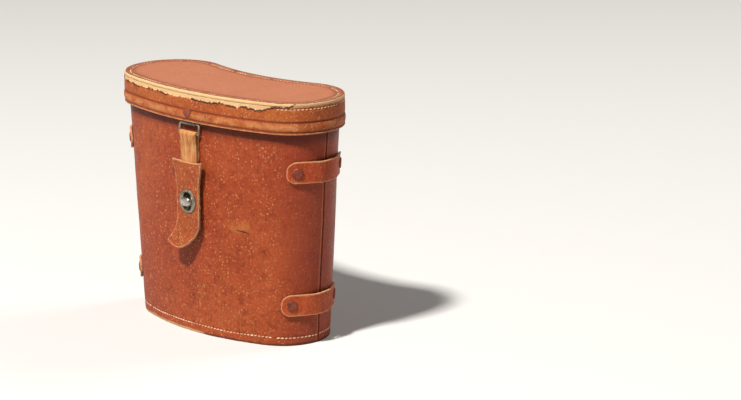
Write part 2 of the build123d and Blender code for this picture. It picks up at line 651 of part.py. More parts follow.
across_tab = Plane(origin=(-TAB_TOP_REACH, 0, 0), x_dir=(0, 1, 0), z_dir=(1, 0, 0))
TAB_TOP = TAB_TOP_Z - EYELET_Z
TAB_BOTTOM = bend_point(TAB_BEND_RADIUS, TAB_BEND_ANGLE)[1] - EYELET_Z

with BuildPart() as strap_tab:
    with BuildSketch(across_tab):
        with BuildLine():
            Line((TAB_BACK_Y, TAB_TOP_Z), (TAB_BACK_Y, TAB_BEND_Z))
            ThreePointArc((TAB_BACK_Y, TAB_BEND_Z), bend_point(TAB_BEND_RADIUS, TAB_BEND_ANGLE / 2),
                          bend_point(TAB_BEND_RADIUS, TAB_BEND_ANGLE))
            Line(bend_point(TAB_BEND_RADIUS, TAB_BEND_ANGLE), bend_point(INNER_BEND, TAB_BEND_ANGLE))
            ThreePointArc(bend_point(INNER_BEND, TAB_BEND_ANGLE), bend_point(INNER_BEND, TAB_BEND_ANGLE / 2),
                          (TAB_FRONT_Y, TAB_BEND_Z))
            Polyline((TAB_FRONT_Y, TAB_BEND_Z), (TAB_FRONT_Y, TAB_TOP_Z), (TAB_BACK_Y, TAB_TOP_Z))
        make_face()
    extrude(amount=2 * TAB_TOP_REACH)
    with BuildSketch(button_axis):
        with BuildLine():
            Polyline((-TAB_REACH, TAB_BOTTOM + 14), (-TAB_REACH, 0), (-TAB_TOP_REACH, TAB_TOP),
                     (TAB_TOP_REACH, TAB_TOP), (TAB_REACH, 0), (TAB_REACH, TAB_BOTTOM + 14))
            ThreePointArc((TAB_REACH, TAB_BOTTOM + 14), (0, TAB_BOTTOM), (-TAB_REACH, TAB_BOTTOM + 14))
        make_face()
    extrude(amount=80, mode=Mode.INTERSECT)
    with BuildSketch(button_axis):
        SlotOverall(OPENING_HEIGHT + 2 * EYELET_BARREL, OPENING_WIDTH + 2 * EYELET_BARREL, rotation=90)
    extrude(amount=80, mode=Mode.SUBTRACT)
save(strap_tab, "strap_tab")

with BuildPart() as eyelet_plate:
    with BuildSketch(button_axis.offset(-TAB_FRONT_Y)):
        Ellipse(EYELET_REACH_X, EYELET_REACH_Z)
        SlotOverall(OPENING_HEIGHT, OPENING_WIDTH, rotation=90, mode=Mode.SUBTRACT)
    extrude(amount=EYELET_THICKNESS)
    fillet(faces().sort_by(Axis.Y)[0].edges(), 0.3)
    with BuildSketch(button_axis.offset(-TAB_FRONT_Y)):
        SlotOverall(OPENING_HEIGHT + 2 * EYELET_BARREL, OPENING_WIDTH + 2 * EYELET_BARREL, rotation=90)
        SlotOverall(OPENING_HEIGHT, OPENING_WIDTH, rotation=90, mode=Mode.SUBTRACT)
    extrude(amount=-TAB_LEATHER)
save(eyelet_plate, "eyelet_plate")

with BuildPart() as eyelet_washer:
    with BuildSketch(button_axis.offset(-TAB_BACK_Y)):
        Ellipse(EYELET_REACH_X - 1.0, EYELET_REACH_Z - 0.5)
        SlotOverall(OPENING_HEIGHT, OPENING_WIDTH, rotation=90, mode=Mode.SUBTRACT)
    extrude(amount=-0.6)
save(eyelet_washer, "eyelet_washer")
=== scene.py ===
import math

import bmesh
import bpy
import numpy as np
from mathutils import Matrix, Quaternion, Vector, noise


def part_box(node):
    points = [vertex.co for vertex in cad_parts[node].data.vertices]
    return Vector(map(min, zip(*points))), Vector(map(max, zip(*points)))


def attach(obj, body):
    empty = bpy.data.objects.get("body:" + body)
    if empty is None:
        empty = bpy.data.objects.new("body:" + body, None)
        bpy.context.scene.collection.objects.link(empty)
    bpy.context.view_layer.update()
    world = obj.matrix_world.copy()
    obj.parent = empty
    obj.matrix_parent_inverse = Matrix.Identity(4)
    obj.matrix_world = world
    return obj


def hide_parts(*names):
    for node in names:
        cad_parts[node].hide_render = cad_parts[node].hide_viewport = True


# A leather case for field glasses: stitched leather over fibre board, a ring-hinged lid, riveted
# strap loops and a turn-button closing strap. The narrow leather pieces are cut flat and then bent
# to shape; the wrap and the lid's leathers run right round the case.
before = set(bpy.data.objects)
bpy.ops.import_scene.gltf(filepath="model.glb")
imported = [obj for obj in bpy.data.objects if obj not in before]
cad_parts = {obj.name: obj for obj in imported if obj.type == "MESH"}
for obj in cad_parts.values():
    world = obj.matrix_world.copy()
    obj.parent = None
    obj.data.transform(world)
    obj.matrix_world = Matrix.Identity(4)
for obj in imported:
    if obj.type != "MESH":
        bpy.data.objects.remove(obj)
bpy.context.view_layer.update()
MM = 0.001

# ------------------------------------------------------------------ sizes
band_low, band_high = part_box("lid_band_leather")
rim_low, rim_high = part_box("lid_top_leather")
wrap_low, wrap_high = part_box("body_leather")
_, sole_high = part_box("base_leather")
LOBE_LINE = 5.0 * MM
WAIST = 31.7 * MM
LOBE = band_high.y - LOBE_LINE
FRONT = LOBE_LINE - band_low.y
WRAP = 2.0 * MM
LID_SKIN = 1.8 * MM
LOOP_SKIN = 1.7 * MM
LOOP_GAP = 2.5 * MM
HINGE_SKIN = 2.0 * MM
FOLD_SKIN = 1.8 * MM
HANGER_SKIN = 1.5 * MM
TAB_SKIN = 2.2 * MM
OVERHANG = band_high.x - wrap_high.x
MOUTH_SPACING = band_high.x - LOBE
SOLE_SPACING = sole_high.x - LOBE + OVERHANG + WRAP
FLARE = (MOUTH_SPACING - SOLE_SPACING) / (wrap_high.z - sole_high.z)
PITCH = 3.3 * MM
STITCH_BELOW_RIM = 4.9 * MM
STITCH_INSIDE_RIM = 5.5 * MM
BASE_STITCH_Z = 7.0 * MM
SIDE_STITCH_Z = rim_high.z - STITCH_BELOW_RIM
GROOVES = (band_high.z - 13.2 * MM, band_low.z + 1.8 * MM)
BULGE_Z = sum(GROOVES) / 2
EDGE_ROUND = 0.35 * MM
OUTLINE_STEP = 1.2 * MM


def spacing_at(height):
    """Distance from the middle of the case to a lobe centre, at a height."""
    return MOUTH_SPACING - FLARE * (wrap_high.z - height)


def kidney(spacing, shares):
    """Places and outward normals round the outline, from the right-hand tip by way of the back."""
    front_radius = (FRONT**2 - LOBE**2 + spacing**2) / (2 * (FRONT - LOBE))
    waist_radius = (spacing**2 + WAIST**2 - LOBE**2) / (2 * (LOBE - WAIST))
    front_turn = -math.atan2(front_radius - FRONT, spacing)
    waist_turn = math.atan2(waist_radius + WAIST, -spacing)
    arcs = [
        (spacing, 0, LOBE, 0, waist_turn, 1),
        (0, waist_radius + WAIST, waist_radius, waist_turn - math.pi, -waist_turn, -1),
        (-spacing, 0, LOBE, math.pi - waist_turn, math.pi - front_turn, 1),
        (0, front_radius - FRONT, front_radius, math.pi - front_turn, 2 * math.pi + front_turn, 1),
        (spacing, 0, LOBE, front_turn, 0, 1),
    ]
    ends = np.cumsum([abs(stop - start) * radius for _, _, radius, start, stop, _ in arcs])
    travel = np.clip(shares, 0, 1) * ends[-1]
    place = np.zeros((len(shares), 2))
    normal = np.zeros((len(shares), 2))
    begun = 0.0
    for (x, y, radius, start, stop, sign), end in zip(arcs, ends):
        here = (travel >= begun) & (travel <= end)
        turn = start + (stop - start) * (travel[here] - begun) / (end - begun)
        ray = np.stack([np.cos(turn), np.sin(turn)], 1)
        place[here] = ray * radius + (x, y + LOBE_LINE)
        normal[here] = sign * ray
        begun = end
    return place, normal, ends


_, _, MOUTH_ENDS = kidney(MOUTH_SPACING, np.zeros(1))
GIRTH = MOUTH_ENDS[-1]
FRONT_SHARE = (MOUTH_ENDS[2] + MOUTH_ENDS[3]) / 2 / GIRTH
BACK_SHARE = (MOUTH_ENDS[0] + MOUTH_ENDS[1]) / 2 / GIRTH


def smooth(low, high, value):
    """Nought below low, one above high, and a soft step between them."""
    t = np.clip((np.asarray(value, float) - low) / (high - low), 0, 1)
    return t * t * (3 - 2 * t)


def bell(value, middle, width):
    """A soft bump of height one round the middle."""
    return np.exp(-(((np.asarray(value, float) - middle) / width) ** 2))


def wander(points, size, seed=0.0):
    """Smooth noise from about -1 to 1 at each point, with features of the given size."""
    shift = Vector((seed * 7.31, seed * 3.77, seed * 5.19))
    return np.array([noise.noise(Vector(p) / size + shift) for p in points]) * 1.6


def line_noise(values, size, seed=0.0):
    """Smooth noise along a line."""
    return wander([(v, 0.37, 0.71) for v in values], size, seed)


def flat_noise(across, along, size, seed):
    """Smooth noise over a piece of leather while it is still flat."""
    return wander(np.column_stack([across, along, along * 0]), size, seed)


# ------------------------------------------------------------------ node helpers
def add_node(tree, kind, settings, inputs, output):
    """Add a node to a tree: its settings first, then a value or a link for each of its sockets."""
    made = tree.nodes.new(kind)
    for key, value in settings.items():
        setattr(made, key, value)
    for key, value in inputs.items():
        if isinstance(value, bpy.types.NodeSocket):
            tree.links.new(value, made.inputs[key])
        else:
            made.inputs[key].default_value = value
    return made.outputs[output]


def math_node(operation, swapped=False):
    """An operator of Sum that adds a Math node."""
    def operator(self, other=0.0):
        first, second = (other, self) if swapped else (self, other)
        return self.recipe.node("ShaderNodeMath", {"operation": operation}, {0: first, 1: second})
    return operator


class Sum:
    """A socket that can be used in sums; each operator adds a Math node."""

    def __init__(self, recipe, socket):
        self.recipe = recipe
        self.socket = socket

    __add__ = __radd__ = math_node("ADD")
    __mul__ = __rmul__ = math_node("MULTIPLY")
    __sub__ = math_node("SUBTRACT")
    __rsub__ = math_node("SUBTRACT", swapped=True)
    __truediv__ = math_node("DIVIDE")
    __abs__ = math_node("ABSOLUTE")
    least = math_node("MINIMUM")

    def clamped(self):
        """The value, held between nought and one."""
        settings = {"operation": "ADD", "use_clamp": True}
        return self.recipe.node("ShaderNodeMath", settings, {0: self, 1: 0.0})


class Recipe:
    """One material, with its finish built from nodes on Object coordinates and piece attributes."""

    def __init__(self, name, **constants):
        self.material = bpy.data.materials.new(name)
        self.material.use_nodes = True
        self.tree = self.material.node_tree
        self.shader = self.tree.nodes["Principled BSDF"]
        for socket, value in constants.items():
            label = socket.replace("_", " ").title().replace("Ior", "IOR")
            self.shader.inputs[label].default_value = value
        self.place = self.node("ShaderNodeTexCoord", {}, {}, "Object")

    def node(self, kind, settings, inputs, output=0):
        """Add a node whose inputs may be sums."""
        inputs = {key: v.socket if isinstance(v, Sum) else v for key, v in inputs.items()}
        return Sum(self, add_node(self.tree, kind, settings, inputs, output))

    def noise(self, scale, detail=2.0, roughness=0.5, place=None):
        """Noise from nought to one."""
        inputs = {"Vector": place or self.place, "Scale": scale}
        inputs.update({"Detail": detail, "Roughness": roughness})
        return self.node("ShaderNodeTexNoise", {}, inputs, "Fac")

    def cells(self, scale, feature="F1", output="Distance", place=None):
        """A Voronoi pattern."""
        inputs = {"Vector": place or self.place, "Scale": scale, "Randomness": 1.0}
        return self.node("ShaderNodeTexVoronoi", {"feature": feature}, inputs, output)

    def stretched(self, scale, turn=(0, 0, 0)):
        """Object coordinates, squeezed or turned."""
        inputs = {"Vector": self.place, "Scale": scale, "Rotation": turn}
        return self.node("ShaderNodeMapping", {}, inputs)

    def attribute(self, name):
        """A number stored on the piece's mesh."""
        return self.node("ShaderNodeAttribute", {"attribute_name": name}, {}, "Fac")

    def axis(self, letter):
        """One of the Object coordinates."""
        return self.node("ShaderNodeSeparateXYZ", {}, {0: self.place}, letter)

    def step(self, value, low, high):
        """A soft step of a value, from nought at low to one at high."""
        settings = {"interpolation_type": "SMOOTHSTEP"}
        inputs = {"Value": value, "From Min": low, "From Max": high}
        return self.node("ShaderNodeMapRange", settings, inputs, "Result")

    def mix(self, factor, first, second, blend="MIX"):
        """A mix of two colours."""
        first, second = (c if isinstance(c, Sum) else (*c, 1) for c in (first, second))
        settings = {"data_type": "RGBA", "blend_type": blend}
        return self.node("ShaderNodeMix", settings, {0: factor, 6: first, 7: second}, 2)

    def layers(self, colour, *coats):
        """Lay coats over a colour: each has a field, the two ends of its step, an amount and a tint."""
        for field, low, high, amount, tint in coats:
            colour = self.mix(self.step(field, low, high) * amount, colour, tint)
        return colour

    def finish(self, colour, roughness, height=None, depth=0.2 * MM, strength=0.6, metallic=None):
        """Feed the shader."""
        feeds = {"Base Color": colour, "Roughness": roughness}
        if metallic is not None:
            feeds["Metallic"] = metallic
        if height is not None:
            inputs = {"Height": height, "Distance": depth, "Strength": strength}
            feeds["Normal"] = self.node("ShaderNodeBump", {}, inputs, "Normal")
        for label, value in feeds.items():
            self.tree.links.new(value.socket, self.shader.inputs[label])
        return self.material


RAW = (0.50, 0.25, 0.10)
CREAM = (0.60, 0.40, 0.21)
# near black, for cracks, cuts and the seam's joint, and for the painted shadow at the torn rim's lip
CRACK_AND_SHADOW = (0.035, 0.010, 0.005)


def grained_leather(name, body, deep, bright, specks=0.75, pore=330, pebble=0.5, roughness=0.5,
                    raw=RAW, edge_reach=0.9, tone=(1, 1, 1), extra=None):
    """Worn tanned hide: mottled colour, pale pores, creases, scuffs, and raw cut edges."""
    r = Recipe(name, specular_ior_level=0.2)
    broad = r.noise(11, 3, 0.55)
    middle = r.noise(48, 4, 0.6)
    fine = r.noise(420, 3, 0.6)
    clouds = r.noise(150, 3, 0.6)
    streaks = r.noise(30, 4, 0.6, r.stretched((2.6, 2.6, 0.35)))
    colour = r.layers(
        r.mix(r.step(broad, 0.38, 0.66), body, bright),
        (middle, 0.50, 0.78, 0.55, deep),
        (streaks, 0.56, 0.80, 0.35, deep),
        (clouds, 0.50, 0.68, 0.40, deep),
        (clouds, 0.48, 0.32, 0.35, bright),
        (fine, 0.42, 0.72, 0.40, bright),
        (fine, 0.60, 0.35, 0.30, deep),
    )
    # pores of many sizes, in patches, with fine creases between them
    drift = r.node("ShaderNodeTexNoise", {}, {"Vector": r.place, "Scale": 260}, "Color")
    warp = r.mix(0.0016, r.place, drift, "ADD")
    distance = r.cells(pore, place=warp)
    cell = r.cells(pore, output="Color", place=warp)
    lottery = r.node("ShaderNodeSeparateColor", {}, {0: cell}, "Red")
    size = 0.15 + lottery * 0.24
    patches = r.step(r.noise(70, 2), 0.38, 0.60)
    speck = r.step(size - distance, -0.03, 0.09)
    speck = (speck * r.step(lottery, 0.05, 0.40) * (0.45 + patches * 0.55)).clamped()
    pale = r.mix(0.60, bright, raw)
    crease = r.step(r.cells(pore * 1.9, "DISTANCE_TO_EDGE", place=warp), 0.10, 0.0)
    colour = r.mix(crease * 0.28, colour, deep)
    scratch_field = r.noise(190, 2, 0.5, r.stretched((1.0, 1.0, 0.07), (0.0, 0.42, 0.3)))
    scratch = r.step(abs(scratch_field - 0.5), 0.010, 0.0) * r.step(r.noise(26), 0.56, 0.66)
    colour = r.mix(scratch * 0.9, colour, raw)
    stain = r.step(r.noise(19, 5, 0.65), 0.61, 0.70)
    colour = r.mix(stain * 0.30, colour, deep)
    colour = r.mix(1.0, colour, tone, "MULTIPLY")
    colour = r.mix(speck * specks, colour, pale)
    height = fine * 0.35 + r.noise(1500, 2) * 0.2 - crease * pebble - scratch * 0.5 + speck * 0.25
    rough = roughness + middle * 0.16 - speck * 0.08 + scratch * 0.15 - stain * 0.08
    rough = rough + (fine - 0.5) * 0.16
    # raw cut edges and the rubbed band beside them
    edge = r.attribute("edge")
    flesh = r.attribute("flesh")
    rubbed = r.step(edge + (r.noise(230, 3) - 0.5) * 1.6, edge_reach, 0.0) * (1 - flesh)
    fibre = r.mix(r.step(r.noise(900, 3), 0.35, 0.75), raw, deep)
    colour = r.mix(rubbed * 0.75, colour, pale)
    colour = r.mix(flesh, colour, fibre)
    rough = rough + (rubbed + flesh) * 0.25
    if extra:
        colour, rough, height = extra(r, colour, rough, height)
    return r.finish(colour, rough.least(0.95), height, 0.35 * MM, 0.9)


def wrap_marks(r, colour, rough, height):
    """The case's marks: polished ends darkened with painted shade, a darker back, the seam with a
    painted highlight on its lip, a frayed foot, painted shade under the lid's edge and a cut scar.
    """
    x, y, z = r.axis("X"), r.axis("Y"), r.axis("Z")
    edge_wobble = r.noise(55, 4) - 0.5
    # painted shade darkens both ends of the case; their lower roughness is their polish
    end = r.step(abs(x), 0.070, 0.100)
    colour = r.mix(end * 0.55, colour, (0.26, 0.030, 0.010))
    colour = r.layers(colour, (y, 0.012, 0.036, 0.20, (0.24, 0.040, 0.014)))
    # the butt seam on the right-hand end, with a paler lip beside it: rubbed wear and a painted
    # highlight of its lit edge
    at_end = r.step(x, 0.05, 0.06)
    seam = r.step(abs(y - LOBE_LINE), 0.0008, 0.0003) * at_end
    lip = r.step(abs(y - LOBE_LINE + 0.0015), 0.0012, 0.0003) * at_end
    colour = r.mix(lip * 0.30, colour, (0.52, 0.20, 0.075))
    colour = r.mix(seam * 0.5, colour, CRACK_AND_SHADOW)
    # the frayed foot, cream and darker towards the right-hand end, and painted shade on the skin just
    # under the lid's edge
    foot = r.step(z + edge_wobble * 0.003, 0.0026, 0.0012)
    torn = r.step(r.noise(60, 3) + x * 3.0, 0.52, 0.66)
    colour = r.mix(foot * 0.8, colour, r.mix(torn, (0.55, 0.33, 0.16), (0.07, 0.025, 0.012)))
    # painted shade where the lid's edge overhangs the wrap, with an uneven lower edge
    colour = r.layers(colour, (z + edge_wobble * 0.004, 0.1655, 0.1765, 0.85, (0.10, 0.012, 0.004)))
    # the scar of a cut, in a paler worn place
    front = r.step(y, -0.02, -0.03)
    dx = (x - 0.052) / 0.0068
    dz = (z - 0.094 - (r.noise(320, 2) - 0.5) * 0.004 + dx * 0.0009) / 0.0007
    cut = r.step(dx * dx * dx * dx + dz * dz, 1.0, 0.35) * front
    halo_x = (x - 0.050) / 0.013
    halo_z = (z - 0.0975) / 0.006
    halo = halo_x * halo_x + halo_z * halo_z + (r.noise(150, 3) - 0.5) * 2.2
    colour = r.mix(r.step(halo, 1.2, -0.2) * front * 0.34, colour, (0.50, 0.19, 0.045))
    colour = r.mix(cut * 0.85, colour, CRACK_AND_SHADOW)
    return colour, rough - end * 0.10 + foot * 0.2, height - cut * 2.0 - seam


def band_marks(r, colour, rough, height):
    """The lid band's marks: dark pressed grooves, a rubbed bulge between them and the torn rim."""
    z = r.axis("Z")
    ragged = z + (r.noise(160, 3) - 0.5) * 0.0010
    for groove, dark in zip(GROOVES, (0.85, 0.55)):
        colour = r.layers(colour, (abs(ragged - groove), 0.0013, 0.0003, dark, (0.17, 0.030, 0.012)))
    crown = r.step(abs(z - BULGE_Z), 0.0036, 0.0006) * r.step(r.noise(90, 3), 0.35, 0.65)
    colour = r.mix(crown * 0.35, colour, (0.70, 0.36, 0.14))
    return torn_rim(r, colour, rough, height)


def torn_rim(r, colour, rough, height):
    """Where the skin has torn away, the pale fibrous core shows above a dark lip of cracks and painted
    shadow.
    """
    torn = r.attribute("torn") + (r.noise(620, 4, 0.7) - 0.5) * 0.9
    bare = r.step(torn, -0.08, 0.10)
    fibre = r.noise(260, 4, 0.65, r.stretched((1.0, 1.0, 3.2)))
    core = r.mix(r.step(fibre, 0.36, 0.66), (0.60, 0.36, 0.17), CREAM)
    core = r.layers(core, (r.noise(38, 3), 0.55, 0.75, 0.35, (0.52, 0.27, 0.11)))
    ripped = r.step(abs(r.axis("X") - 0.058), 0.075, 0.030) * 0.10
    # painted shadow under the curled edge of the torn skin, broken up like cracks
    lip = r.step(abs(torn + 0.45), 1.05, 0.35) * r.step(r.noise(150, 3) + ripped, 0.47, 0.54)
    colour = r.mix(bare, colour, core)
    colour = r.mix(lip * 0.92, colour, CRACK_AND_SHADOW)
    height = height * (1 - bare) + bare * (fibre * 0.9 - 1.0) - lip * 1.5
    return colour, rough + bare * 0.3, height


def top_marks(r, colour, rough, height):
    """The lid top's marks: painted shade along the sunk stitched line, a rubbed crest, a paler middle
    and the torn edge.
    """
    rim = r.attribute("rim")
    off_line = rim - STITCH_INSIDE_RIM / MM
    crest = r.step(abs(off_line + 1.8), 0.9, 0.1) * r.step(r.noise(110, 3), 0.40, 0.62)
    # painted shade in the sunk groove of the stitched line
    colour = r.layers(colour, (abs(off_line), 1.1, 0.2, 0.35, (0.26, 0.07, 0.03)))
    colour = r.mix(crest * 0.40, colour, (0.66, 0.36, 0.19))
    colour = r.layers(
        colour,
        (rim, 7.0, 12.0, 0.40, (0.60, 0.225, 0.125)),
        (rim + (r.noise(300, 3) - 0.5) * 1.1, 1.0, 0.2, 0.75, CREAM),
    )
    return torn_rim(r, colour, rough, height)


def bare_leather(name):
    """Split, sun-bleached leather whose skin has worn off in long ridges."""
    r = Recipe(name, specular_ior_level=0.15)
    strand = r.noise(240, 4, 0.65, r.stretched((2.4, 2.4, 0.22)))
    blot = r.noise(120, 3)
    colour = r.mix(r.step(strand, 0.34, 0.62), (0.33, 0.11, 0.032), (0.50, 0.235, 0.090))
    colour = r.layers(
        colour,
        (strand, 0.40, 0.30, 0.75, (0.20, 0.06, 0.02)),
        (blot, 0.52, 0.70, 0.45, (0.56, 0.32, 0.14)),
    )
    colour = r.mix(r.attribute("flesh"), colour, (0.40, 0.19, 0.08))
    height = strand * 1.4 + r.noise(900, 2) * 0.3
    return r.finish(colour, 0.72 + blot * 0.2, height, 0.4 * MM, 0.9)


def painted_metal(name, paint, under, roughness=0.42):
    """Rivet heads under old red-brown dye, rubbed and chipped."""
    r = Recipe(name, specular_ior_level=0.3)
    tone = r.noise(210, 3)
    chips = r.step(r.noise(520, 3, 0.6), 0.66, 0.70)
    colour = r.mix(r.step(tone, 0.35, 0.68), paint, tuple(c * 0.55 for c in paint))
    colour = r.layers(colour, (r.noise(950, 2), 0.55, 0.75, 0.4, (0.42, 0.14, 0.07)))
    colour = r.mix(chips * 0.8, colour, under)
    rough = roughness + tone * 0.2 - chips * 0.1
    height = r.noise(700, 3) * 0.5 - chips
    return r.finish(colour, rough, height, 0.08 * MM, 0.5, chips * 0.9)


def worn_metal(name, colour_a, colour_b, roughness, tarnish):
    """Plated or drawn metal: fine scratches, dull tarnish and brighter rubbed places."""
    r = Recipe(name, metallic=1.0)
    cloud = r.noise(180, 4, 0.6)
    scratch = r.noise(900, 2, 0.5, r.stretched((1.0, 6.0, 0.4), (0.3, 0.2, 0.5)))
    stain = r.step(r.noise(420, 4, 0.65), 0.52, 0.66)
    colour = r.mix(r.step(cloud, 0.36, 0.66), colour_a, colour_b)
    colour = r.mix(stain * 0.65, colour, tarnish)
    rough = roughness + cloud * 0.18 + stain * 0.20 + (scratch - 0.5) * 0.12
    return r.finish(colour, rough, scratch * 0.5 - stain * 0.5, 0.05 * MM, 0.45)


def fibre_board(name):
    """Pressed brown board with a felted face."""
    r = Recipe(name)
    fibre = r.noise(700, 4, 0.6)
    cloud = r.noise(60, 3)
    colour = r.mix(r.step(fibre, 0.35, 0.65), (0.30, 0.20, 0.11), (0.42, 0.30, 0.17))
    colour = r.layers(colour, (cloud, 0.5, 0.8, 0.5, (0.16, 0.09, 0.05)))
    return r.finish(colour, 0.75 + cloud * 0.2, fibre, 0.15 * MM, 0.6)


def napped_cloth(name, colour_a, colour_b):
    """Napped lining cloth: a woven ground under short brushed hair."""
    r = Recipe(name, sheen_weight=0.35, sheen_roughness=0.5)
    threads = {"Vector": r.place, "Scale": 420.0}
    weave_x = r.node("ShaderNodeTexWave", {"bands_direction": "X"}, threads, "Fac")
    weave_z = r.node("ShaderNodeTexWave", {"bands_direction": "Z"}, threads, "Fac")
    nap = r.noise(800, 4, 0.7)
    colour = r.mix(r.step(nap, 0.3, 0.7), colour_a, colour_b)
    colour = r.layers(colour, (r.noise(40, 3), 0.52, 0.74, 0.45, (0.33, 0.22, 0.15)))
    height = weave_x * 0.3 + weave_z * 0.3 + nap
    return r.finish(colour, 0.85 + nap * 0.1, height, 0.2 * MM, 0.6)


def waxed_thread(name):
    """Waxed linen thread, cream and grubby, with a twist across each stitch."""
    r = Recipe(name, specular_ior_level=0.35)
    twist = r.noise(2600, 2)
    colour = r.mix(r.step(twist, 0.35, 0.65), (0.58, 0.36, 0.20), (0.88, 0.70, 0.47))
    colour = r.layers(colour, (r.noise(75, 4, 0.6), 0.42, 0.62, 0.62, (0.42, 0.15, 0.065)))
    return r.finish(colour, 0.6 + twist * 0.2, twist, 0.1 * MM, 0.7)


def needle_hole(name):
    """Painted shade: a dark spot for the shade in the dent that the awl leaves at each end of a stitch.
    """
    r = Recipe(name)
    grit = r.noise(1600, 2)
    colour = r.mix(grit, (0.045, 0.012, 0.006), (0.12, 0.035, 0.015))
    return r.finish(colour, 0.85 + grit * 0.1, grit, 0.05 * MM, 0.4)


def pale_floor(name):
    """The plain pale floor."""
    r = Recipe(name, specular_ior_level=0.15)
    cloud = r.noise(6, 2)
    colour = r.mix(cloud * 0.2, (0.60, 0.595, 0.59), (0.57, 0.565, 0.56))
    return r.finish(colour, 0.85 + cloud * 0.1)


def paint(piece, material):
    """Give a piece one material."""
    piece.data.materials.clear()
    piece.data.materials.append(material)


# ------------------------------------------------------------------ mesh helpers
def as_piece(mesh, body, material, slot, *replaced):
    """Make a finished mesh a piece of the object, at the origin, riding on its body."""
    piece = bpy.data.objects.new(mesh.name, mesh)
    bpy.context.scene.collection.objects.link(piece)
    paint(piece, material)
    mesh.polygons.foreach_set("use_smooth", [True] * len(mesh.polygons))
    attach(piece, body)
    if replaced:
        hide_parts(*replaced)


def store(mesh, **values):
    """Store numbers on the mesh's points for the materials to read."""
    for name, numbers in values.items():
        attribute = mesh.attributes.new(name, "FLOAT", "POINT")
        attribute.data.foreach_set("value", np.asarray(numbers, np.float32))


def outward_mesh(name, points, faces):
    """A mesh whose faces all look outwards."""
    shell = bmesh.new()
    corners = [shell.verts.new(p) for p in points]
    for face in faces:
        shell.faces.new([corners[i] for i in face])
    bmesh.ops.recalc_face_normals(shell, faces=shell.faces)
    mesh = bpy.data.meshes.new(name)
    shell.to_mesh(mesh)
    shell.free()
    return mesh


def grid_faces(rows, around, closed):
    """Four-cornered faces between rows of points that each run right round the case."""
    faces = []
    for i in range(rows if closed else rows - 1):
        low, high = i * around, (i + 1) % rows * around
        for j in range(around):
            k = (j + 1) % around
            faces.append((low + j, low + k, high + k, high + j))
    return faces


def section(bottom, top, thickness, heights, rounding=0.5 * MM):
    """The closed section of a leather wall: rows of depth, height and how far they are grain side."""
    turns = np.linspace(0, math.pi / 2, 4)
    inset = rounding * (1 - np.cos(turns))
    drop = rounding * (1 - np.sin(turns))
    skin = 1 - turns / math.pi
    rows = [(0.0, z, 1.0) for z in heights if bottom + rounding < z < top - rounding]
    rows += zip(inset, top - drop, skin)
    rows += [(thickness - i, top - d, 0.0) for i, d in zip(inset[::-1], drop[::-1])]
    rows += [(thickness, z, 0.0) for z in np.linspace(top - 3 * rounding, bottom + 3 * rounding, 8)]
    rows += [(thickness - i, bottom + d, 0.0) for i, d in zip(inset, drop)]
    rows += zip(inset[::-1], bottom + drop[::-1], skin[::-1])
    return np.array(rows)


def round_wall(name, rows, shares, inset, spacing, relief):
    """A leather wall that runs right round the case, with relief raised on its grain side."""
    around = len(shares)
    points, outward = [], []
    for depth, z, _ in rows:
        place, normal, _ = kidney(spacing(z), shares)
        points.append(np.column_stack([place - normal * (inset + depth), np.full(around, z)]))
        outward.append(np.column_stack([normal, np.zeros(around)]))
    points, outward = np.concatenate(points), np.concatenate(outward)
    across = np.tile(shares, len(rows))
    height, grain = np.repeat(rows[:, 1], around), np.repeat(rows[:, 2], around)
    lift = relief(points, across, height) * grain
    points = points + outward * lift[:, None]
    mesh = outward_mesh(name, points, grid_faces(len(rows), around, True))
    nearest = np.minimum(height - rows[:, 1].min(), rows[:, 1].max() - height) / MM
    store(mesh, edge=nearest, flesh=1.0 - np.clip(grain * 2.0, 0, 1))
    return mesh, across, height


def trail(points, step=0.15 * MM):
    """A smooth path through (y, z) points: finely spaced places and left-hand normals by distance."""
    points = np.array(points, float)
    gaps = np.linalg.norm(np.diff(points, axis=0), axis=1)
    run = np.concatenate([[0], np.cumsum(gaps)])
    fine = np.arange(0, run[-1], step)
    y, z = np.interp(fine, run, points[:, 0]), np.interp(fine, run, points[:, 1])
    for _ in range(60):
        y[1:-1] = (y[:-2] + y[1:-1] * 2 + y[2:]) / 4
        z[1:-1] = (z[:-2] + z[1:-1] * 2 + z[2:]) / 4
    dy, dz = np.gradient(y), np.gradient(z)
    size = np.hypot(dy, dz)
    run = np.concatenate([[0], np.cumsum(np.hypot(np.diff(y), np.diff(z)))])
    return run, y, z, dy / size, dz / size


def ring_of(centre, radius, start, stop, count=24):
    """Points on an arc in the (y, z) plane, with angles in degrees from +Y towards +Z."""
    angles = np.radians(np.linspace(start, stop, count))
    return [(centre[0] + radius * math.cos(a), centre[1] + radius * math.sin(a)) for a in angles]


def cut_sheet(loops, thickness):
    """A flat sheet of leather inside one loop, outside any other, with its edges rounded off."""
    shape = bmesh.new()
    edges = []
    for loop in loops:
        corners = [shape.verts.new((a, b, 0)) for a, b in loop]
        edges += [shape.edges.new((p, q)) for p, q in zip(corners, corners[1:] + corners[:1])]
    bmesh.ops.triangle_fill(shape, use_beauty=True, edges=edges)
    down = bmesh.ops.extrude_face_region(shape, geom=list(shape.faces), use_keep_orig=True)
    lowered = [v for v in down["geom"] if isinstance(v, bmesh.types.BMVert)]
    bmesh.ops.translate(shape, verts=lowered, vec=(0, 0, -thickness))
    bmesh.ops.recalc_face_normals(shape, faces=shape.faces)
    sharp = [e for e in shape.edges if len(e.link_faces) == 2 and e.calc_face_angle() > 1.2]
    level = [e for e in sharp if abs(e.verts[0].co.z - e.verts[1].co.z) < 1e-6]
    bmesh.ops.bevel(shape, geom=level, offset=EDGE_ROUND, segments=2, profile=0.5, affect="EDGES",
                    clamp_overlap=True)
    return shape


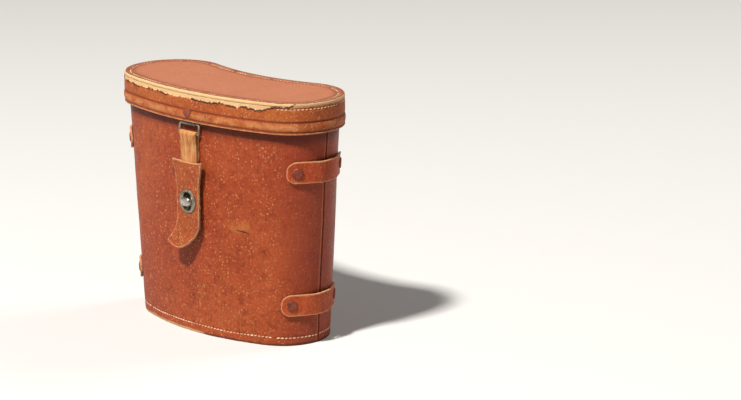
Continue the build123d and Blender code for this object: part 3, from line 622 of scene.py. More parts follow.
def slice_sheet(shape, outline, step):
    """Cut the sheet's faces into a grid fine enough to bend."""
    low, high = outline.min(axis=0), outline.max(axis=0)
    for axis in (0, 1):
        for cut in np.arange(low[axis] + step, high[axis], step):
            place, normal = [0, 0, 0], [0, 0, 0]
            place[axis], normal[axis] = cut, 1
            geometry = [*shape.verts, *shape.edges, *shape.faces]
            bmesh.ops.bisect_plane(shape, geom=geometry, dist=1e-6, plane_co=place, plane_no=normal)


def off_edge(places, loops):
    """Distance of each place on a flat sheet from the nearest cut edge, up to a metre."""
    nearest = np.full(len(places), 1.0)
    for loop in loops:
        span = np.roll(loop, -1, axis=0) - loop
        reach = places[:, None] - loop[None]
        along = np.clip((reach * span).sum(2) / (span**2).sum(1), 0, 1)
        gap = np.linalg.norm(reach - along[..., None] * span, axis=2).min(axis=1)
        nearest = np.minimum(nearest, gap)
    return nearest


def cut_leather(name, outline, thickness, step, bend, hole=None, wobble=0.25 * MM):
    """Leather cut flat along an outline of (across, along) points, then bent to shape."""
    outline = np.array(outline, float)
    ray = outline - outline.mean(axis=0)
    ray = ray / np.linalg.norm(ray, axis=1)[:, None]
    ragged = wobble * flat_noise(outline[:, 0], outline[:, 1], 3.5 * MM, len(name))
    loops = [outline + ray * ragged[:, None]]
    if hole is not None:
        loops.append(np.array(hole, float))
    shape = cut_sheet(loops, thickness)
    slice_sheet(shape, outline, step)
    flat = np.array([v.co for v in shape.verts])
    for vertex, place in zip(shape.verts, bend(flat[:, 0], flat[:, 1], -flat[:, 2])):
        vertex.co = place
    bmesh.ops.recalc_face_normals(shape, faces=shape.faces)
    mesh = bpy.data.meshes.new(name)
    shape.to_mesh(mesh)
    shape.free()
    side = np.clip((-flat[:, 2] - EDGE_ROUND * 0.5) / (0.3 * MM), 0, 1)
    store(mesh, edge=off_edge(flat[:, :2], loops) / MM, flesh=side)
    return mesh


def strap_outline(half_width, bottom, top, corner, count=7):
    """A strap's flat outline between two places along it, with rounded corners."""
    points = []
    for x, y, start in ((half_width, top, 0), (-half_width, top, 90), (-half_width, bottom, 180),
                        (half_width, bottom, 270)):
        cx = x - math.copysign(corner, x)
        cy = y - corner if y == top else y + corner
        for a in np.radians(np.linspace(start, start + 90, count)):
            points.append((cx + corner * math.cos(a), cy + corner * math.sin(a)))
    dense = []
    for (ax, ay), (bx, by) in zip(points, points[1:] + points[:1]):
        pieces = max(1, int(math.hypot(bx - ax, by - ay) / OUTLINE_STEP))
        for k in range(pieces):
            dense.append((ax + (bx - ax) * k / pieces, ay + (by - ay) * k / pieces))
    return dense


def along_trail(path, across, distance, depth):
    """Place points on a bent strap: across it, along its path, and down through its thickness."""
    run, y, z, ty, tz = path
    py, pz = np.interp(distance, run, y), np.interp(distance, run, z)
    ny, nz = np.interp(distance, run, -tz), np.interp(distance, run, ty)
    return np.column_stack([across, py - ny * depth, pz - nz * depth])


# ------------------------------------------------------------------ materials
case_leather = grained_leather(
    "case_leather", (0.45, 0.092, 0.032), (0.21, 0.026, 0.008), (0.57, 0.150, 0.052), specks=0.62,
    pore=400, roughness=0.42, tone=(0.68, 0.51, 0.38), extra=wrap_marks)
band_leather = grained_leather(
    "band_leather", (0.52, 0.150, 0.042), (0.30, 0.055, 0.018), (0.64, 0.25, 0.080), specks=0.5,
    pore=480, roughness=0.48, raw=CREAM, edge_reach=1.2, tone=(0.66, 0.43, 0.29), extra=band_marks)
top_leather = grained_leather(
    "top_leather", (0.545, 0.185, 0.098), (0.40, 0.10, 0.048), (0.62, 0.25, 0.145), specks=0.25,
    pore=520, pebble=0.25, roughness=0.52, raw=CREAM, tone=(0.45, 0.435, 0.40), extra=top_marks)
loop_leather = grained_leather(
    "loop_leather", (0.44, 0.095, 0.032), (0.25, 0.040, 0.014), (0.56, 0.17, 0.055), specks=0.3,
    pore=480, pebble=0.3, roughness=0.42, raw=CREAM, edge_reach=1.4, tone=(0.85, 0.52, 0.36))
hinge_leather = grained_leather(
    "hinge_leather", (0.55, 0.205, 0.062), (0.36, 0.090, 0.026), (0.66, 0.30, 0.105), specks=0.35,
    pore=480, pebble=0.35, roughness=0.5, raw=CREAM, edge_reach=1.1, tone=(0.85, 0.80, 0.72))
tab_leather = grained_leather(
    "tab_leather", (0.50, 0.150, 0.050), (0.30, 0.055, 0.020), (0.62, 0.24, 0.09), specks=0.45,
    pore=460, pebble=0.4, roughness=0.46, raw=CREAM, tone=(0.63, 0.44, 0.32))
sole_leather = grained_leather(
    "sole_leather", (0.22, 0.065, 0.026), (0.10, 0.028, 0.012), (0.32, 0.11, 0.045), specks=0.1,
    roughness=0.65)
collar_leather = grained_leather(
    "collar_leather", (0.26, 0.075, 0.030), (0.14, 0.035, 0.014), (0.36, 0.12, 0.05), specks=0.15,
    pore=500, pebble=0.25)
worn_split = bare_leather("worn_split")
rivet_paint = painted_metal("rivet_paint", (0.22, 0.040, 0.018), (0.42, 0.24, 0.12))
nickel = worn_metal("nickel", (0.24, 0.22, 0.17), (0.38, 0.35, 0.28), 0.36, (0.12, 0.10, 0.07))
bright_nickel = worn_metal("bright_nickel", (0.36, 0.33, 0.28), (0.56, 0.52, 0.46), 0.26,
                           (0.16, 0.13, 0.09))
ring_wire = worn_metal("ring_wire", (0.20, 0.18, 0.15), (0.34, 0.31, 0.27), 0.38,
                       (0.07, 0.045, 0.03))
clasp_wire = worn_metal("clasp_wire", (0.27, 0.21, 0.14), (0.46, 0.38, 0.28), 0.38,
                        (0.12, 0.06, 0.03))
brass = worn_metal("brass", (0.48, 0.32, 0.13), (0.66, 0.47, 0.21), 0.34, (0.16, 0.09, 0.04))
dark_steel = worn_metal("dark_steel", (0.16, 0.145, 0.13), (0.27, 0.25, 0.22), 0.42,
                        (0.08, 0.045, 0.03))
board = fibre_board("board")
lining = napped_cloth("lining", (0.13, 0.030, 0.022), (0.22, 0.060, 0.045))
thread = waxed_thread("thread")
hole_shade = needle_hole("hole_shade")

FINISHES = {
    board: "body_shell base_board lid_top_board lid_band_shell",
    lining: "body_lining base_lining lid_lining",
    collar_leather: "body_collar",
    sole_leather: "base_leather",
    rivet_paint: "loop_rivets hinge_case_rivets hinge_lid_rivets clasp_rivet",
    brass: "loop_burrs hinge_case_burrs hinge_lid_burrs clasp_burr turn_button_washer eyelet_washer",
    # the turn button's plate is dark steel as painted shade: it fills the eyelet's opening, which lies
    # in shadow
    dark_steel: "turn_button_plate turn_button_pins clasp_chape",
    nickel: "eyelet_plate",
    bright_nickel: "turn_button_knob",
    ring_wire: "hinge_ring",
    clasp_wire: "clasp_ring",
}
for finish, names in FINISHES.items():
    for node in names.split():
        paint(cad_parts[node], finish)


# ------------------------------------------------------------------ case wrap
def dents(points):
    """Broad and small dents and swellings of the wrap."""
    return 0.35 * MM * wander(points, 62 * MM, 1) + 0.12 * MM * wander(points, 17 * MM, 2)


def wrap_relief(points, across, height):
    """The wrap's dents, its foot's stitched crease and the seam on the right-hand end."""
    crease = -0.35 * MM * bell(height, BASE_STITCH_Z, 1.1 * MM)
    worn = 0.5 + 0.5 * wander(points, 9 * MM, 3)
    foot = -0.35 * MM * smooth(2.2 * MM, 0.0, height) * worn
    off_seam = np.minimum(across, 1 - across) * GIRTH
    seam = -0.9 * MM * bell(off_seam, 0, 0.4 * MM) + 0.22 * MM * bell(off_seam, 1.7 * MM, 0.9 * MM)
    return dents(points) + crease + foot + seam


SEAM_REACH = 3.2 * MM
WRAP_COLUMNS = 270
seam_columns = [np.linspace(0, SEAM_REACH, 13), -np.linspace(0.25 * MM, SEAM_REACH, 12)]
fine_columns = np.concatenate(seam_columns) / GIRTH % 1
even_columns = np.linspace(0, 1, WRAP_COLUMNS, endpoint=False)
wrap_columns = np.unique(np.concatenate([even_columns, fine_columns]))
wrap_heights = np.concatenate([np.linspace(0, 12 * MM, 16), np.linspace(14 * MM, wrap_high.z, 78)])
wrap_rows = section(wrap_low.z, wrap_high.z, WRAP, wrap_heights)
wrap_mesh, _, _ = round_wall("case_wrap", wrap_rows, wrap_columns, OVERHANG, spacing_at, wrap_relief)

# The notch in the front of the mouth, which leaves room for the clasp.
NOTCH_REACH = 14 * MM
NOTCH_DEPTH = 6.4 * MM
notch_from = wrap_high.z - 12 * MM
for vertex in wrap_mesh.vertices:
    x, y, z = vertex.co
    if y < 0 and z > notch_from:
        inside = float(1 - smooth(NOTCH_REACH - 3 * MM, NOTCH_REACH + 1 * MM, abs(x)))
        vertex.co.z -= NOTCH_DEPTH * float(smooth(notch_from, wrap_high.z, z)) * inside
as_piece(wrap_mesh, "case", case_leather, "case_leather", "body_leather")


# ------------------------------------------------------------------ lid band and top
TEAR_LEFT, TEAR_RIGHT = -150 * MM, 112 * MM
BAND_COLUMNS = 760
TOP_COLUMNS = 620
RIM_ROLL = 1.1 * MM
FAR_FROM_EDGE = 9.0


def off_front(across):
    """Distance round the lid from the middle of the front, positive to the right."""
    return (across - FRONT_SHARE) * GIRTH


def tear_height(across):
    """Height of the torn skin's ragged lip round the lid; above it the core is bare."""
    along = off_front(across)
    stitches = SIDE_STITCH_Z - 1.5 * MM
    scallop = 0.55 * MM * np.abs(np.sin(math.pi * along / PITCH))
    ragged = 0.75 * MM * line_noise(along, 8 * MM, 4) + 0.35 * MM * line_noise(along, 2.2 * MM, 5)
    ripped = bell(along, 62 * MM, 22 * MM) * 1.9 * MM * line_noise(along, 4.5 * MM, 6)
    lip = stitches + scallop + ragged + ripped
    fade = smooth(74 * MM, 88 * MM, along) + smooth(-94 * MM, -112 * MM, along)
    lip = lip + fade * 3.3 * MM
    outside = smooth(TEAR_RIGHT - 14 * MM, TEAR_RIGHT, along)
    outside = outside + smooth(TEAR_LEFT + 12 * MM, TEAR_LEFT, along)
    return lip + np.clip(outside, 0, 1) * 8 * MM


def band_relief(points, across, height):
    """Pressed grooves, the swollen lower roll, and the skin torn off along the front of the rim."""
    lift = 0.20 * MM * wander(points, 30 * MM, 7) + 0.10 * MM * wander(points, 9 * MM, 8)
    for groove in GROOVES:
        lift = lift - 0.75 * MM * bell(height, groove, 0.7 * MM)
    lift = lift + 0.55 * MM * bell(height, BULGE_Z, 3.2 * MM)
    lift = lift - 0.35 * MM * bell(height, SIDE_STITCH_Z, 1.0 * MM)
    above = height - tear_height(across)
    torn = smooth(-0.15 * MM, 0.35 * MM, above)
    fibres = 0.22 * MM * wander(points, 1.6 * MM, 9)
    where = smooth(0.1, 0.7, line_noise(off_front(across), 6 * MM, 10))
    curl = 0.45 * MM * bell(above, -0.7 * MM, 0.6 * MM) * where
    return lift * (1 - torn) + torn * (fibres - 0.75 * MM) + curl


band_heights = np.concatenate([np.linspace(band_low.z, rim_high.z - 8.4 * MM, 26),
                               np.linspace(rim_high.z - 8 * MM, band_high.z, 16)])
band_rows = section(band_low.z, band_high.z, LID_SKIN, band_heights, 0.4 * MM)
band_columns = np.linspace(0, 1, BAND_COLUMNS, endpoint=False)
band_mesh, band_across, band_height = round_wall("lid_band", band_rows, band_columns, 0.0,
                                                 lambda z: MOUTH_SPACING, band_relief)
store(band_mesh, torn=(band_height - tear_height(band_across)) / MM)
as_piece(band_mesh, "lid", band_leather, "band_leather", "lid_band_leather")


def lid_top():
    """The lid's top leather: a rolled rim, a stitched line inside it and a slightly sagging panel."""
    shares = np.linspace(0, 1, TOP_COLUMNS, endpoint=False)
    place, normal, _ = kidney(MOUTH_SPACING, shares)
    edge = rim_high.z - RIM_ROLL
    rings = [(0.0, rim_low.z), (0.0, rim_low.z + 0.6 * MM), (0.0, edge - 0.3 * MM)]
    for a in np.radians((0, 22, 45, 67, 90)):
        rings.append((RIM_ROLL * (1 - math.cos(a)), edge + RIM_ROLL * math.sin(a)))
    insets = np.concatenate([np.linspace(1.6, 9.0, 19), np.linspace(10, 40.5, 26)]) * MM
    rings += [(inset, rim_high.z) for inset in insets]
    around = len(shares)
    points = [np.column_stack([place - normal * inset, np.full(around, z)]) for inset, z in rings]
    points = np.concatenate(points)
    rims = np.repeat([inset for inset, _ in rings], around)
    outward = np.tile(np.column_stack([normal, np.zeros(around)]), (len(rings), 1))
    across = np.tile(shares, len(rings))
    flat_part = smooth(0.2 * MM, 1.4 * MM, rims)
    drop = 0.55 * MM * bell(rims, STITCH_INSIDE_RIM, 0.75 * MM)
    drop = drop + 0.45 * MM * smooth(6 * MM, 18 * MM, rims)
    drop = drop + 0.20 * MM * (1 - bell(rims, 3.0 * MM, 1.8 * MM))
    drop = drop - 0.16 * MM * wander(points, 34 * MM, 11) * flat_part
    points[:, 2] -= np.maximum(drop, 0) * flat_part
    above = points[:, 2] - tear_height(across)
    torn = smooth(-0.15 * MM, 0.35 * MM, above) * (1 - smooth(0.4 * MM, 1.5 * MM, rims))
    rough = 0.20 * MM * wander(points, 1.6 * MM, 12) - 0.45 * MM
    rough = rough * torn + 0.10 * MM * wander(points, 8 * MM, 13) * (1 - flat_part)
    points = points + outward * rough[:, None]
    faces = grid_faces(len(rings), around, False)
    faces.append(range((len(rings) - 1) * around, len(rings) * around))
    faces.append(range(around)[::-1])
    mesh = outward_mesh("lid_top", points, faces)
    inward = rims / MM + 0.5 * line_noise(off_front(across), 7 * MM, 14)
    bare = above / MM - 10.0 * smooth(0.2, 2.2, inward)
    store(mesh, edge=rims * 0 + FAR_FROM_EDGE, flesh=rims * 0, rim=rims / MM, torn=bare)
    return mesh


as_piece(lid_top(), "lid", top_leather, "lid_leather", "lid_top_leather")


# ------------------------------------------------------------------ strap loops
def keeper(side, level):
    """One strap loop: rounded ends riveted flat to the case, standing off its end between them."""
    low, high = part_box(f"loop_{level}_{side}")
    height, width = (low.z + high.z) / 2, high.z - low.z
    radius = LOBE - OVERHANG + LOOP_SKIN
    reach = radius * math.radians(52)
    rivet_at = radius * math.radians(39)
    sign = 1 if side == "right" else -1
    seed = 20 + height * 100 + sign

    def bend(a, b, depth):
        turn = a / radius
        open_part = np.clip(np.abs(turn) / math.radians(28), 0, 1)
        stand = LOOP_GAP * (1 - open_part**2) ** 1.25
        dimple = 0.30 * MM * bell(np.hypot(np.abs(a) - rivet_at, b), 0, 4.6 * MM)
        cup = 0.35 * MM * (b / (width / 2)) ** 2 * smooth(0.3, 1.0, np.abs(a) / reach)
        uneven = 0.22 * MM * flat_noise(a, b, 13 * MM, seed)
        off_centre = radius + stand + cup - dimple + np.abs(uneven) - depth
        z = height + b + 0.35 * MM * line_noise(a, 22 * MM, seed)
        x = spacing_at(z) + off_centre * np.cos(turn)
        return np.column_stack([sign * x, LOBE_LINE + off_centre * np.sin(turn), z])

    outline = [(a, b) for b, a in strap_outline(width / 2, -reach, reach, 0.46 * width, 9)]
    mesh = cut_leather(f"keeper_{level}_{side}", outline, LOOP_SKIN, 1.5 * MM, bend, wobble=0.35 * MM)
    as_piece(mesh, "case", loop_leather, "loop_leather", f"loop_{level}_{side}")


for side in ("left", "right"):
    for level in ("lower", "upper"):
        keeper(side, level)

# ------------------------------------------------------------------ hinge leathers
ring_low, ring_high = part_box("hinge_ring")
_, lid_strap_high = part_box("hinge_high_strap")
case_strap_low, case_strap_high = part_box("hinge_low_strap")
patch_low, patch_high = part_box("hinge_low_patch")
WIRE = 1.2 * MM
LOW_BAR = (ring_low.y + WIRE, ring_low.z + WIRE)
HIGH_BAR = (ring_high.y - WIRE, ring_high.z - WIRE)
ROLL = 3.1 * MM
BACK = LOBE_LINE + WAIST
HOLLOW = (MOUTH_SPACING**2 + WAIST**2 - LOBE**2) / (2 * (LOBE - WAIST))
RIVET_XS = (-18.5 * MM, 0.0, 18.5 * MM)
LID_RIVET_Z = 189.5 * MM
CASE_RIVET_Z = 151.5 * MM
LID_STRAP_LEAVES = 184.5 * MM
FOLD_LEAVES = 157 * MM


def rivet_dimples(x, z, rivet_z):
    """How far the leather is pressed in round the three rivets of a hinge strap."""
    return sum(0.30 * MM * bell(np.hypot(x - rx, z - rivet_z), 0, 5.0 * MM) for rx in RIVET_XS)


def hinge_lid_strap():
    """The lid's hinge strap: flat on the hollow back, then rolled under the ring's upper bar."""
    top = lid_strap_high.z
    face = BACK + HINGE_SKIN
    down = [(face, top), (face, LID_STRAP_LEAVES), (face + 0.8 * MM, 181 * MM)]
    path = trail(down + [(HIGH_BAR[0] + ROLL, 177 * MM)] + ring_of(HIGH_BAR, ROLL, 0, -205))
    length = path[0][-1]

    def bend(a, b, depth):
        distance = np.clip(top - b, 0, length)
        placed = along_trail(path, a, distance, depth)
        rise = HOLLOW - np.sqrt(HOLLOW**2 - a**2)
        follow = 1 - smooth(top - LID_STRAP_LEAVES, top - 176 * MM, distance)
        placed[:, 1] += rise * follow - rivet_dimples(a, b, LID_RIVET_Z)
        placed[:, 1] += 0.25 * MM * flat_noise(a, b, 14 * MM, 31) * follow
        return placed

    outline = strap_outline(lid_strap_high.x, top - length, top, 0.8 * MM, 4)
    mesh = cut_leather("hinge_lid_strap", outline, HINGE_SKIN, 1.2 * MM, bend, wobble=0.4 * MM)
    as_piece(mesh, "lid", hinge_leather, "hinge_leather", "hinge_high_strap")


def hinge_case_fold():
    """The case's hinge strap: folded double over the ring's lower bar."""
    bottom = case_strap_low.z
    front, back = case_strap_low.y + 2 * FOLD_SKIN, case_strap_low.y
    up = [(front, bottom), (front, FOLD_LEAVES), (LOW_BAR[0] + ROLL, LOW_BAR[1] - 1 * MM)]
    down = [(back, LOW_BAR[1] - 2 * MM), (back, bottom + 0.6 * MM)]
    path = trail(up + ring_of(LOW_BAR, ROLL, 0, 180) + down)
    length = path[0][-1]

    def bend(a, b, depth):
        placed = along_trail(path, a, np.clip(b, 0, length), -depth)
        placed[:, 2] += 0.3 * MM * line_noise(a, 16 * MM, 33)
        return placed

    outline = strap_outline(case_strap_high.x, 0.0, length, 0.6 * MM, 3)
    mesh = cut_leather("hinge_case_fold", outline, FOLD_SKIN, 1.4 * MM, bend, wobble=0.4 * MM)
    as_piece(mesh, "case", hinge_leather, "hinge_leather", "hinge_low_strap")


def hinge_case_patch():
    """The facing patch under the roll, with raw edges that lift a little at its upper corners."""
    face = patch_low.y + FOLD_SKIN
    path = trail([(face, patch_low.z), (face, FOLD_LEAVES + 0.5 * MM), (patch_high.y, patch_high.z)])
    length = path[0][-1]

    def bend(a, b, depth):
        placed = along_trail(path, a, np.clip(b, 0, length), -depth)
        placed[:, 1] -= rivet_dimples(a, placed[:, 2], CASE_RIVET_Z)
        lifted = smooth(0.55, 1.0, np.abs(a) / patch_high.x) * smooth(0.6, 1.0, b / length)
        placed[:, 1] += 0.5 * MM * lifted + 0.2 * MM * np.abs(flat_noise(a, b, 12 * MM, 35))
        return placed

    outline = strap_outline(patch_high.x, 0.0, length, 0.8 * MM, 3)
    mesh = cut_leather("hinge_case_patch", outline, FOLD_SKIN, 1.3 * MM, bend, wobble=0.5 * MM)
    as_piece(mesh, "case", hinge_leather, "hinge_leather", "hinge_low_patch")


hinge_lid_strap()
hinge_case_fold()
hinge_case_patch()

# ------------------------------------------------------------------ closing strap
clasp_low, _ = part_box("clasp_ring")
hanger_low, hanger_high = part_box("strap_hanger")
_, tab_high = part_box("strap_tab")
eyelet_low, eyelet_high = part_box("eyelet_plate")
CLASP_BAR = (clasp_low.y + 1.0 * MM, clasp_low.z + 1.0 * MM)
HANGER_ROLL = 2.6 * MM
RIDGE_PITCH = 4.3 * MM
TAIL_STARTS_Z = 96 * MM
TAIL_RADIUS = 44 * MM
TAIL_FROM = 50 * MM
TAB_HALF_LOW = 12.5 * MM
SLOT_ROUND = 5.05 * MM
SLOT_REACH = 3.15 * MM


def clasp_hanger():
    """The narrow strap folded over the clasp ring: its skin is worn off in long ridges."""
    bottom, back, front = hanger_low.z, hanger_high.y, tab_high.y
    up = [(back, bottom), (back, CLASP_BAR[1])]
    down = [(front - 0.5 * MM, 160.5 * MM), (front, 156 * MM), (front, bottom)]
    path = trail(up + ring_of(CLASP_BAR, HANGER_ROLL, 0, 180) + down)
    length = path[0][-1]

    def bend(a, b, depth):
        distance = np.clip(length - b, 0, length)
        skin = 1 - np.clip(depth / (0.7 * MM), 0, 1)
        lane = a + 0.8 * MM * line_noise(b, 12 * MM, 41)
        ridges = 0.42 * MM * np.sin(lane / RIDGE_PITCH * 2 * math.pi + 0.6)
        ridges = ridges + 0.25 * MM * line_noise(lane, 1.8 * MM, 42)
        visible = smooth(length * 0.52, length * 0.60, distance) * smooth(0, 12 * MM, b)
        width = 1 + 0.03 * line_noise(b, 9 * MM, 43)
        return along_trail(path, a * width, distance, ridges * skin * visible - depth)

    outline = strap_outline(hanger_high.x, 0.0, length, 0.5 * MM, 3)
    mesh = cut_leather("clasp_hanger", outline, HANGER_SKIN, 0.9 * MM, bend, wobble=0.5 * MM)
    as_piece(mesh, "closure_strap", worn_split, "worn_leather", "strap_hanger")


def tab_half_width(down):
    """Half the tab's width at a distance below its top edge."""
    return TAB_HALF_LOW + (tab_high.x - TAB_HALF_LOW) * (1 - smooth(0, 24 * MM, down))


def tail_outline():
    """The tail's cut edge, from the right side round the slanting end to the left side."""
    corners = [(12.5, -50.0), (12.2, -56.5), (10.4, -63.0), (6.8, -69.0), (2.5, -73.0), (-2.0, -75.0),
               (-8.0, -74.2), (-14.6, -71.4), (-14.2, -67.5), (-13.2, -60.0), (-12.5, -50.0)]
    corners = np.array(corners) * MM
    run = np.concatenate([[0], np.cumsum(np.linalg.norm(np.diff(corners, axis=0), axis=1))])
    along = np.linspace(0, run[-1], 44)[1:-1]
    return list(zip(np.interp(along, run, corners[:, 0]), np.interp(along, run, corners[:, 1])))


def closing_tab():
    """The broad tab: a dipped top edge, an eyelet, and a tail that curls away to the left."""
    top, back, half_top = tab_high.z, tab_high.y, tab_high.x
    face = back - TAB_SKIN
    centre = (back - TAIL_RADIUS, TAIL_STARTS_Z)
    curl = ring_of(centre, TAIL_RADIUS - TAB_SKIN, 0, -40, 30)
    path = trail([(face, top), (face, TAIL_STARTS_Z)] + curl)
    length = path[0][-1]
    eyelet = top - (eyelet_low.z + eyelet_high.z) / 2
    across = np.linspace(-half_top, half_top, 22)[1:-1]
    dipped = [(x, -(0.2 + 1.9 * (1 - (x / half_top) ** 2)) * MM) for x in across]
    down = np.linspace(0.4 * MM, TAIL_FROM, 46)
    right = [(float(tab_half_width(b)), -b) for b in down]
    left = [(-x, y) for x, y in reversed(right)]
    slot = []
    for middle, begin in ((-eyelet + SLOT_REACH, 0), (-eyelet - SLOT_REACH, 180)):
        for a in np.radians(np.linspace(begin, begin + 180, 12)):
            slot.append((SLOT_ROUND * math.cos(a), middle + SLOT_ROUND * math.sin(a)))

    def bend(a, b, depth):
        distance = np.clip(-b, 0, length)
        placed = along_trail(path, a, distance, -depth)
        tail = smooth(TAIL_FROM, length, distance)
        corner = smooth(0.35, 1.0, -a / half_top) * smooth(9 * MM, 0, distance)
        uneven = 0.18 * MM * (1 + flat_noise(a, b, 13 * MM, 51)) * smooth(0, 8 * MM, distance)
        pressed = 0.25 * MM * bell(np.hypot(a, b + eyelet), 8 * MM, 3.0 * MM)
        placed[:, 0] -= 5.0 * MM * tail
        placed[:, 1] += 1.6 * MM * tail * a / TAB_HALF_LOW - 1.9 * MM * corner - uneven + pressed
        placed[:, 2] += 2.2 * MM * tail * np.maximum(-a / TAB_HALF_LOW, 0)
        return placed

    outline = dipped + right + tail_outline() + left
    mesh = cut_leather("closing_tab", outline, TAB_SKIN, 1.3 * MM, bend, hole=slot, wobble=0.35 * MM)
    as_piece(mesh, "closure_strap", tab_leather, "tab_leather", "strap_tab")


clasp_hanger()
closing_tab()


# ------------------------------------------------------------------ stitching
class Tree:
    """A geometry node tree with named inputs."""

    def __init__(self, name, inputs):
        self.group = bpy.data.node_groups.new(name, "GeometryNodeTree")
        self.group.interface.new_socket("Geometry", in_out="INPUT", socket_type="NodeSocketGeometry")
        self.keys = {}
        for label, kind in inputs.items():
            made = self.group.interface.new_socket(label, in_out="INPUT", socket_type=kind)
            self.keys[label] = made.identifier
        self.group.interface.new_socket("Geometry", in_out="OUTPUT", socket_type="NodeSocketGeometry")
        self.start = self.group.nodes.new("NodeGroupInput")
        self.end = self.group.nodes.new("NodeGroupOutput")

    def node(self, kind, settings, inputs, output=0):
        """Add a node; a string may name one of the tree's own inputs."""
        linked = dict(inputs)
        for key, value in inputs.items():
            if isinstance(value, str) and value in self.keys:
                linked[key] = self.start.outputs[value]
        return add_node(self.group, kind, settings, linked, output)


def stitch_tree():
    """Stitches along a line: beads of thread at a pitch, each a little turned, a few of them gone."""
    sizes = ("Pitch", "Length", "Width", "Height", "Slant", "Missing")
    tree = Tree("stitches_along_line", {
        **{size: "NodeSocketFloat" for size in sizes},
        "Seed": "NodeSocketInt",
        "Material": "NodeSocketMaterial",
    })

    def chance(low, high, seed):
        inputs = {"Min": low, "Max": high, "Seed": seed}
        return tree.node("FunctionNodeRandomValue", {"data_type": "FLOAT"}, inputs, 1)

    curve = tree.node("GeometryNodeMeshToCurve", {}, {"Mesh": tree.start.outputs["Geometry"]})
    spaced = {"Curve": curve, "Length": "Pitch"}
    line = tree.node("GeometryNodeResampleCurve", {"mode": "LENGTH"}, spaced)
    bead = tree.node("GeometryNodeMeshUVSphere", {}, {"Segments": 8, "Rings": 6, "Radius": 0.5})
    size = tree.node("ShaderNodeCombineXYZ", {}, {"X": "Length", "Y": "Width", "Z": "Height"})
    bead = tree.node("GeometryNodeTransform", {}, {"Geometry": bead, "Scale": size})
    vector = {"data_type": "FLOAT_VECTOR"}
    outward = tree.node("GeometryNodeInputNamedAttribute", vector, {"Name": "outward"})
    tangent = tree.node("GeometryNodeInputTangent", {}, {})
    axes = {"primary_axis": "Z", "secondary_axis": "X"}
    along = {"Primary Axis": outward, "Secondary Axis": tangent}
    lying = tree.node("FunctionNodeAxesToRotation", axes, along)
    spread = chance(-0.12, 0.12, "Seed")
    slant = tree.node("ShaderNodeMath", {"operation": "ADD"}, {0: spread, 1: "Slant"})
    turn = tree.node("ShaderNodeCombineXYZ", {}, {"Z": slant})
    turn = tree.node("FunctionNodeEulerToRotation", {}, {"Euler": turn})
    both = {"Rotation": lying, "Rotate By": turn}
    turned = tree.node("FunctionNodeRotateRotation", {"rotation_space": "LOCAL"}, both)
    over = {"data_type": "FLOAT", "operation": "GREATER_THAN"}
    kept = tree.node("FunctionNodeCompare", over, {"A": chance(0.0, 1.0, "Seed"), "B": "Missing"})
    beads = tree.node("GeometryNodeInstanceOnPoints", {}, {
        "Points": line, "Instance": bead, "Rotation": turned, "Selection": kept,
        "Scale": chance(0.85, 1.12, 5)})
    real = tree.node("GeometryNodeRealizeInstances", {}, {"Geometry": beads})
    painted = tree.node("GeometryNodeSetMaterial", {}, {"Geometry": real, "Material": "Material"})
    tree.group.links.new(painted, tree.end.inputs[0])
    return tree


STITCHES = stitch_tree()


def stitch_row(name, places, normals, body, slot, material, values):
    """Sew one row of stitches along a line of places, standing up in their outward directions."""
    mesh = bpy.data.meshes.new(name + "_line")
    mesh.from_pydata(places.tolist(), [(i, i + 1) for i in range(len(places) - 1)], [])
    attribute = mesh.attributes.new("outward", "FLOAT_VECTOR", "POINT")
    attribute.data.foreach_set("vector", np.array(normals, np.float32).ravel())
    row = bpy.data.objects.new(name + "_line", mesh)
    bpy.context.scene.collection.objects.link(row)
    modifier = row.modifiers.new("stitches", "NODES")
    modifier.node_group = STITCHES.group
    for label, value in {**values, "Material": material}.items():
        modifier[STITCHES.keys[label]] = value
    bpy.context.view_layer.update()
    evaluated = row.evaluated_get(bpy.context.evaluated_depsgraph_get())
    made = bpy.data.meshes.new_from_object(evaluated)
    made.name = name
    bpy.data.objects.remove(row)
    as_piece(made, body, material, slot)


def line_round(shares, inset, z, spacing, lift):
    """A line round the case on its side: places and outward directions."""
    place, normal, _ = kidney(spacing, shares)
    places = np.column_stack([place - normal * (inset - lift), np.full(len(shares), z)])
    return places, np.column_stack([normal, np.zeros(len(shares))])


THREAD = {"Pitch": PITCH, "Length": 2.5 * MM, "Width": 0.85 * MM, "Height": 0.62 * MM,
          "Slant": 0.14, "Missing": 0.05, "Seed": 3}
DENTS = {"Pitch": PITCH, "Length": 0.95 * MM, "Width": 0.85 * MM, "Height": 0.28 * MM,
         "Slant": 0.0, "Missing": 0.0, "Seed": 4}


def sew(name, places, normals, body, slot, changes):
    """Sew a row and mark its needle holes with painted shade, half a pitch along."""
    stitch_row(name, places, normals, body, slot, thread, {**THREAD, **changes})
    run = np.cumsum(np.linalg.norm(np.diff(places, axis=0), axis=1))
    start = int(np.searchsorted(run, PITCH / 2))
    # the holes are dark beads of painted shade, sunk a little into the leather
    sunk = places[start:] - normals[start:] * 0.10 * MM
    stitch_row(name + "_holes", sunk, normals[start:], body, slot, hole_shade, DENTS)


def sew_top():
    """On the top of the lid, right round inside the rim."""
    shares = np.linspace(0, 1, 1200)
    place, normal, _ = kidney(MOUTH_SPACING, shares)
    level = np.full(len(shares), rim_high.z - 0.62 * MM)
    line = np.column_stack([place - normal * STITCH_INSIDE_RIM, level])
    line[:, 2] += 0.1 * MM * wander(line, 34 * MM, 11)
    upward = np.tile((0.0, 0.0, 1.0), (len(shares), 1))
    sew("top_stitching", line, upward, "lid", "lid_leather", {"Missing": 0.12, "Seed": 8})


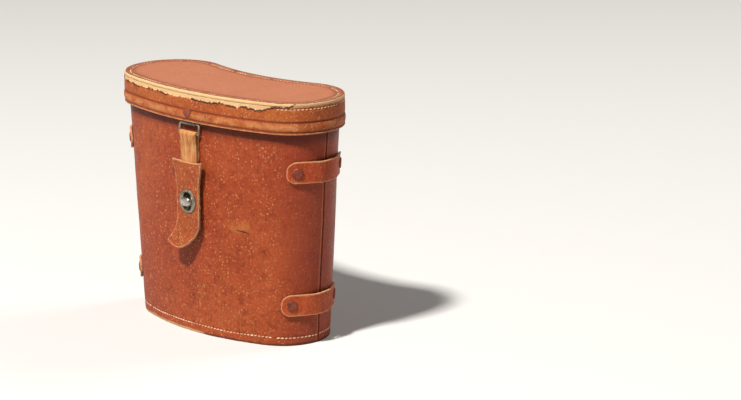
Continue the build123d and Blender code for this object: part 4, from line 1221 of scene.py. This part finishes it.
def sew_band():
    """On the lid's side, from one end of the tear round the back to the other, over the hinge strap."""
    start = (TEAR_RIGHT - 22 * MM) / GIRTH + FRONT_SHARE - 1
    stop = (TEAR_LEFT + 14 * MM) / GIRTH + FRONT_SHARE
    shares = np.linspace(start, stop, 1500) % 1
    off_middle = np.abs(shares - BACK_SHARE) * GIRTH
    edge = lid_strap_high.x
    across_strap = 1 - smooth(edge - 0.6 * MM, edge + 0.6 * MM, off_middle)
    lift = (-0.22 * MM + 2.1 * MM * across_strap)[:, None]
    line, normals = line_round(shares, 0.0, SIDE_STITCH_Z, MOUTH_SPACING, lift)
    sew("band_stitching", line, normals, "lid", "band_leather", {"Missing": 0.08, "Seed": 12})


def sew_foot():
    """Round the foot of the case, from one side of the seam to the other."""
    clear = 3.0 * MM / GIRTH
    shares = np.linspace(clear, 1 - clear, 1400)
    line, normals = line_round(shares, OVERHANG, BASE_STITCH_Z, spacing_at(BASE_STITCH_Z), -0.20 * MM)
    line = line + normals * dents(line)[:, None]
    line[:, 2] += 0.5 * MM * line_noise(shares * GIRTH, 40 * MM, 61)
    bolder = {"Missing": 0.03, "Seed": 17, "Length": 2.7 * MM, "Width": 1.05 * MM}
    sew("foot_stitching", line, normals, "case", "case_leather", bolder)


sew_top()
sew_band()
sew_foot()

# ------------------------------------------------------------------ floor, camera and lights
FLOOR_REACH = 4
AZIMUTH, ELEVATION, DISTANCE, ROLL_ANGLE, PAN, LENS = 45.4, 14.7, 2.348, -0.96, 2.845, 137.2
WARM_WHITE = (1.0, 0.97, 0.92)
MIDDLE = Vector((0, 0, rim_high.z / 2))

turns = ((-1, -1), (1, -1), (1, 1), (-1, 1))
corners = [(x * FLOOR_REACH, y * FLOOR_REACH, 0) for x, y in turns]
floor_mesh = bpy.data.meshes.new("floor")
floor_mesh.from_pydata(corners, [], [(0, 1, 2, 3)])
floor = bpy.data.objects.new("floor", floor_mesh)
bpy.context.scene.collection.objects.link(floor)
paint(floor, pale_floor("floor"))


def set_up(thing, place, turn):
    """Put a camera or a lamp in the scene, at a place and turned a given way."""
    thing.location = place
    thing.rotation_mode = "QUATERNION"
    thing.rotation_quaternion = turn
    bpy.context.scene.collection.objects.link(thing)


azimuth, elevation = math.radians(AZIMUTH), math.radians(ELEVATION)
back = Vector((math.sin(azimuth) * math.cos(elevation), -math.cos(azimuth) * math.cos(elevation),
               math.sin(elevation)))
look = (-back).to_track_quat("-Z", "Y") @ Quaternion((0, 1, 0), math.radians(-PAN))
look = look @ Quaternion((0, 0, 1), math.radians(ROLL_ANGLE))
camera = bpy.data.objects.new("camera", bpy.data.cameras.new("camera"))
camera.data.lens = LENS
set_up(camera, MIDDLE + back * DISTANCE, look)
bpy.context.scene.camera = camera


def soft_light(name, place, size, power, colour=(1, 1, 1)):
    """A square studio light aimed at the case."""
    light = bpy.data.lights.new(name, "AREA")
    light.size = size
    light.energy = power
    light.color = colour
    aim = Vector((0, 0, 0.1)) - Vector(place)
    set_up(bpy.data.objects.new(name, light), place, aim.to_track_quat("-Z", "Y"))


soft_light("key", (0.12, -2.38, 3.78), 0.40, 350, WARM_WHITE)
soft_light("fill", (-1.9, -1.3, 0.8), 1.6, 2)
soft_light("back_fill", (0.9, 2.2, 2.1), 1.2, 34, WARM_WHITE)
world = bpy.context.scene.world or bpy.data.worlds.new("studio")
bpy.context.scene.world = world
world.use_nodes = True
background = world.node_tree.nodes["Background"]
background.inputs["Color"].default_value = (1, 1, 1, 1)
background.inputs["Strength"].default_value = 0.09
bpy.context.scene.view_settings.view_transform = "Standard"
